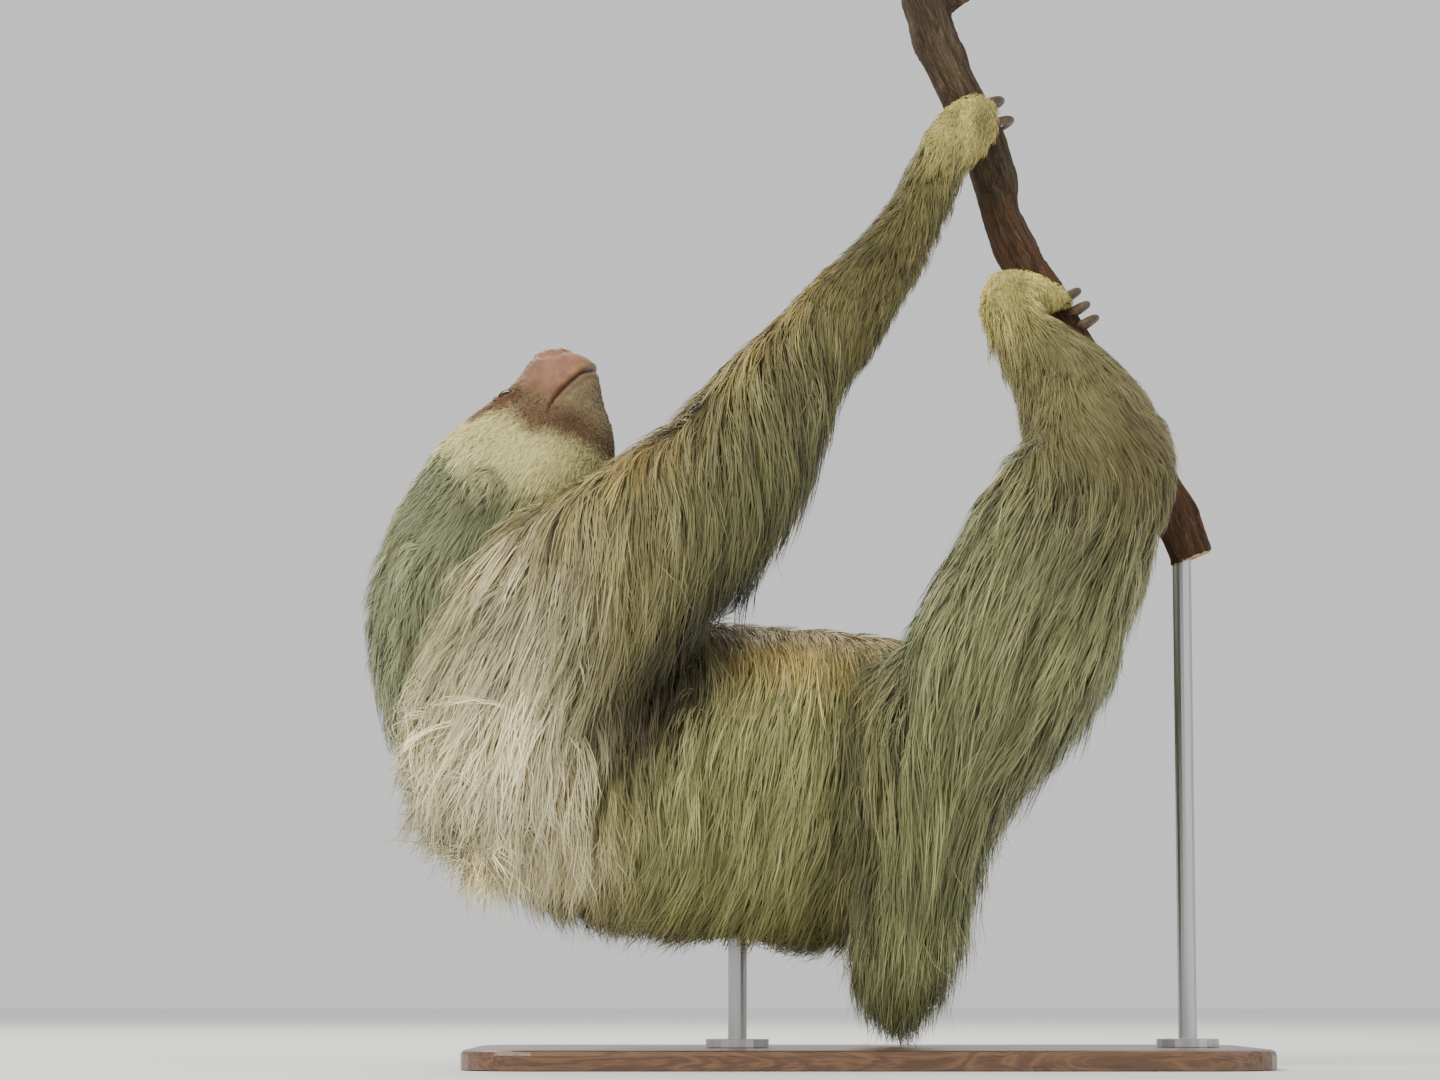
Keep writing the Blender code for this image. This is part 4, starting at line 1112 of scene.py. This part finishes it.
isLong = ease(triLength, *coatSettings["longFrom"])
isShort = 1 - ease(triLength, *coatSettings["shortBelow"])
triangleCount = 0
for kind, where in (("long", isLong), ("medium", 1 - isLong - isShort), ("short", isShort)):
    for piece, region in makeCoat(kind, where):
        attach(piece, "root")
        count = len(piece.data.loops) - 2 * len(piece.data.polygons)
        triangleCount += count
        print(piece.name, count, "triangles")
    print(kind, "coat covers", round(float((area * where).sum()), 3))
print("coat", triangleCount, "triangles in all")

# under long fur the skin needs fewer faces
editOnly(skin, "vertices", (length > skinSettings["underFur"]) & ~onHead,
         lambda: bpy.ops.mesh.decimate(ratio=skinSettings["keptFaces"]))
print("skin", len(trianglesOf(skin)[0]), "triangles")

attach(skin, "root")
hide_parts(*fleshNodes)

# eyes: a ball with a low cornea, seen between the lids
for side in ("left", "right"):
    gaze, slant, lift = (Vector(v) for v in gazes[side])
    radius = faceSettings["eyeRadius"] - 0.00015
    bpy.ops.mesh.primitive_uv_sphere_add(segments=32, ring_count=20, radius=radius, location=(0, 0, 0))
    ball = bpy.context.object
    ball.name = ball.data.name = "eyeball_" + side
    turn = Matrix((slant, lift, gaze)).transposed().to_4x4()
    if turn.determinant() < 0:
        turn = Matrix((-slant, lift, gaze)).transposed().to_4x4()
    place = pointsOf(ball)
    facing = place[:, 2] / radius
    place *= (1 + 0.05 * ease(facing, 0.74, 0.96))[:, None]
    setPoints(ball, place)
    setAttribute(ball.data, "fromPupil", "FLOAT", np.arccos(np.clip(facing, -1, 1)) / 1.15)
    ball.data.transform(Matrix.Translation(eyes[side]) @ turn)
    dress(ball, "eye")
    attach(ball, "root")
    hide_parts("eye_" + side)
print("eyes")

# claws: the solids' own shape, rounded
for name in sorted(n for n in nodes if n.startswith("claw_")):
    claw = copyNode(name)
    weld(claw)
    claw.name = claw.data.name = "horn_" + name[5:]
    useModifier(claw, "SUBSURF", levels=1, render_levels=1)
    dress(claw, "horn")
    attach(claw, "root")
    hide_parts(name)
print("claws")

# the branch: bark with knots and a broken twig
branchSettings = {
    "voxel": 0.0023, "slices": 34, "radius": 0.0150, "relief": 0.0010, "twigAt": 0.055, "twigLength": 0.030,
    "knots": ((0.10, 0.3, 1.0), (0.30, 2.4, 0.8), (0.44, 5.2, 1.1), (0.83, 1.2, 0.9), (0.93, 3.6, 1.0)),
    "knotSize": 0.0075, "knotHeight": 0.0019, "cutEnd": 0.004, "twigThick": (0.0052, 0.0026),
    "gripReach": 0.028, "gripFlat": 0.75,        # where the animal grips, the relief is lower by this share
}
branch = copyNode("perch_branch")
weld(branch)
rough = pointsOf(branch)
span = rough - rough.mean(0)
axis = np.linalg.svd(span, full_matrices=False)[2][0]
axis = axis * (1 if axis[2] < 0 else -1)          # from the top end down
run = span @ axis
marks = np.linspace(run.min(), run.max(), branchSettings["slices"] + 1)
line = []
for low, high in zip(marks, marks[1:]):
    ring = rough[(run >= low - 0.004) & (run <= high + 0.004)]
    if len(ring):
        line.append((ring.min(0) + ring.max(0)) / 2)
line = np.array(line)
line[1:-1] = (line[:-2] + 2 * line[1:-1] + line[2:]) / 4
twigRoot = Vector(line[int(len(line) * branchSettings["twigAt"])])
twigWay = Vector((0.80, 0.05, 0.45)).normalized()
twigLong, (rootThick, tipThick) = branchSettings["twigLength"], branchSettings["twigThick"]
bpy.ops.mesh.primitive_cone_add(
    vertices=12, radius1=rootThick, radius2=tipThick, depth=twigLong, location=(0, 0, 0))
twig = bpy.context.object
twig.data.transform(turnedTo(twigRoot + twigWay * (0.008 + twigLong / 2), twigWay, "Z"))
branch = joinPieces([branch, twig], "branch_bark")
useModifier(branch, "REMESH", mode="VOXEL", voxel_size=branchSettings["voxel"])
useModifier(branch, "SMOOTH", factor=0.5, iterations=4)
place, out = pointsOf(branch), normalsOf(branch)


def alongLine(points, line):     # the branch's own coordinates: across, across, along
    steps = np.r_[0, np.cumsum(np.linalg.norm(np.diff(line, axis=0), axis=1))]
    best, where = np.full(len(points), 9.0), np.zeros(len(points))
    foot, way = points.copy(), points.copy()
    for i, (p0, p1) in enumerate(zip(line, line[1:])):
        d = p1 - p0
        t = np.clip((points - p0) @ d / (d @ d), 0, 1)
        near = p0 + t[:, None] * d
        gap = np.linalg.norm(points - near, axis=1)
        closer = gap < best
        best = np.where(closer, gap, best)
        where = np.where(closer, steps[i] + t * np.linalg.norm(d), where)
        foot = np.where(closer[:, None], near, foot)
        way = np.where(closer[:, None], unit(d), way)
    side = unit(np.cross(way, np.array((0.0, 1.0, 0.0))))
    return dot(points - foot, side), dot(points - foot, np.cross(way, side)), where, way


acrossA, acrossB, where, way = alongLine(place, line)
ripple = roughness3d(np.c_[acrossA, acrossB, where * 0.35], 95.0, 4, 5.0)
lumps = roughness3d(np.c_[acrossA, acrossB, where], 34.0, 2, 9.0)
knot = np.zeros(len(place))
for share, angle, size in branchSettings["knots"]:       # how far along, where round it, how big
    turnGap = np.angle(np.exp(1j * (np.arctan2(acrossB, acrossA) - angle))) * branchSettings["radius"]
    knot += size * bell(np.hypot(where - where.max() * share, turnGap), branchSettings["knotSize"])
isEnd = np.abs(dot(out, way)) > 0.75
gripPlaces = [middle(n) for n in nodes if n.startswith(("claw_hand_right", "claw_foot"))]
held = 1 - branchSettings["gripFlat"] * (gapTo(place, gripPlaces) < branchSettings["gripReach"])
relief = branchSettings["relief"] * (ripple * 0.9 + lumps) + branchSettings["knotHeight"] * knot
move = relief * held - 0.0004
place = place + out * np.where(isEnd, 0.3 * branchSettings["relief"] * ripple, move)[:, None]
setPoints(branch, place)
acrossA, acrossB, where, way = alongLine(place, line)
setAttribute(branch.data, "bark", "FLOAT_VECTOR", np.c_[acrossA, acrossB, where])
setAttribute(branch.data, "redness", "FLOAT", ease(where / where.max(), 0.10, 0.60) * 0.85)
dress(branch, "bark", "cut")
_, _, faceWhere, faceWay = alongLine(readAll(branch.data.polygons, "center"), line)
ends = np.abs(dot(readAll(branch.data.polygons, "normal"), faceWay)) > 0.80
ends &= (faceWhere < branchSettings["cutEnd"]) | (faceWhere > where.max() - branchSettings["cutEnd"])
branch.data.polygons.foreach_set("material_index", ends.astype(np.int32))
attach(branch, "root")
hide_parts("perch_branch")
print("branch", len(place), "points")

for name, node in nodes.items():             # the stand keeps its solids
    if name.startswith("stand_"):
        node.material_slots[0].material = finishes["base" if name == "stand_base" else "steel"]

# floor, light and camera
bpy.ops.mesh.primitive_plane_add(size=14, location=(0, 0, -0.0005))
floor = bpy.context.object
floor.name = "floor"
paper = Finish("floorPaper", **{"Specular IOR Level": 0.2, "Roughness": 0.9})
grain = paper.noise(paper.place(), 60.0, 3.0)
floor.data.materials.append(paper.finish(Base_Color=paper.mix(grain, (0.80, 0.81, 0.80), (0.84, 0.84, 0.83))))

world = bpy.data.worlds.new("studio")
bpy.context.scene.world = world
world.use_nodes = True
sky = world.node_tree.nodes["Background"]
sky.inputs["Color"].default_value = (0.935, 0.93, 0.93, 1)
sky.inputs["Strength"].default_value = 0.88

lights = {                       # place, size, power, colour
    "key": ((-1.6, -1.9, 2.2), 1.4, 82.0, (1.0, 0.97, 0.90)),
    "fill": ((1.9, -1.6, 1.0), 1.8, 14.0, (0.98, 1.0, 0.96)),
    "rim": ((-0.6, 1.8, 2.2), 1.2, 46.0, (1.0, 0.99, 0.92)),
}
target = Vector((-0.03, 0.0, 0.33))
for name, (spot, size, power, tone) in lights.items():
    lamp = bpy.data.lights.new(name, "AREA")
    lamp.size, lamp.energy, lamp.color = size, power, tone
    addObject(name, lamp).matrix_world = turnedTo(spot, target - Vector(spot))

viewSettings = {"aim": (-0.0568, -0.005, 0.3355), "distance": 2.6, "pitch": math.radians(6.3), "width": 0.925}
aim = Vector(viewSettings["aim"])
look = Vector((0, math.cos(viewSettings["pitch"]), math.sin(viewSettings["pitch"])))
camera = addObject("camera", bpy.data.cameras.new("camera"))
camera.data.sensor_width = 36
camera.data.lens = 36 * viewSettings["distance"] / viewSettings["width"]
camera.matrix_world = turnedTo(aim - look * viewSettings["distance"], look)
bpy.context.scene.camera = camera
print("light and camera")
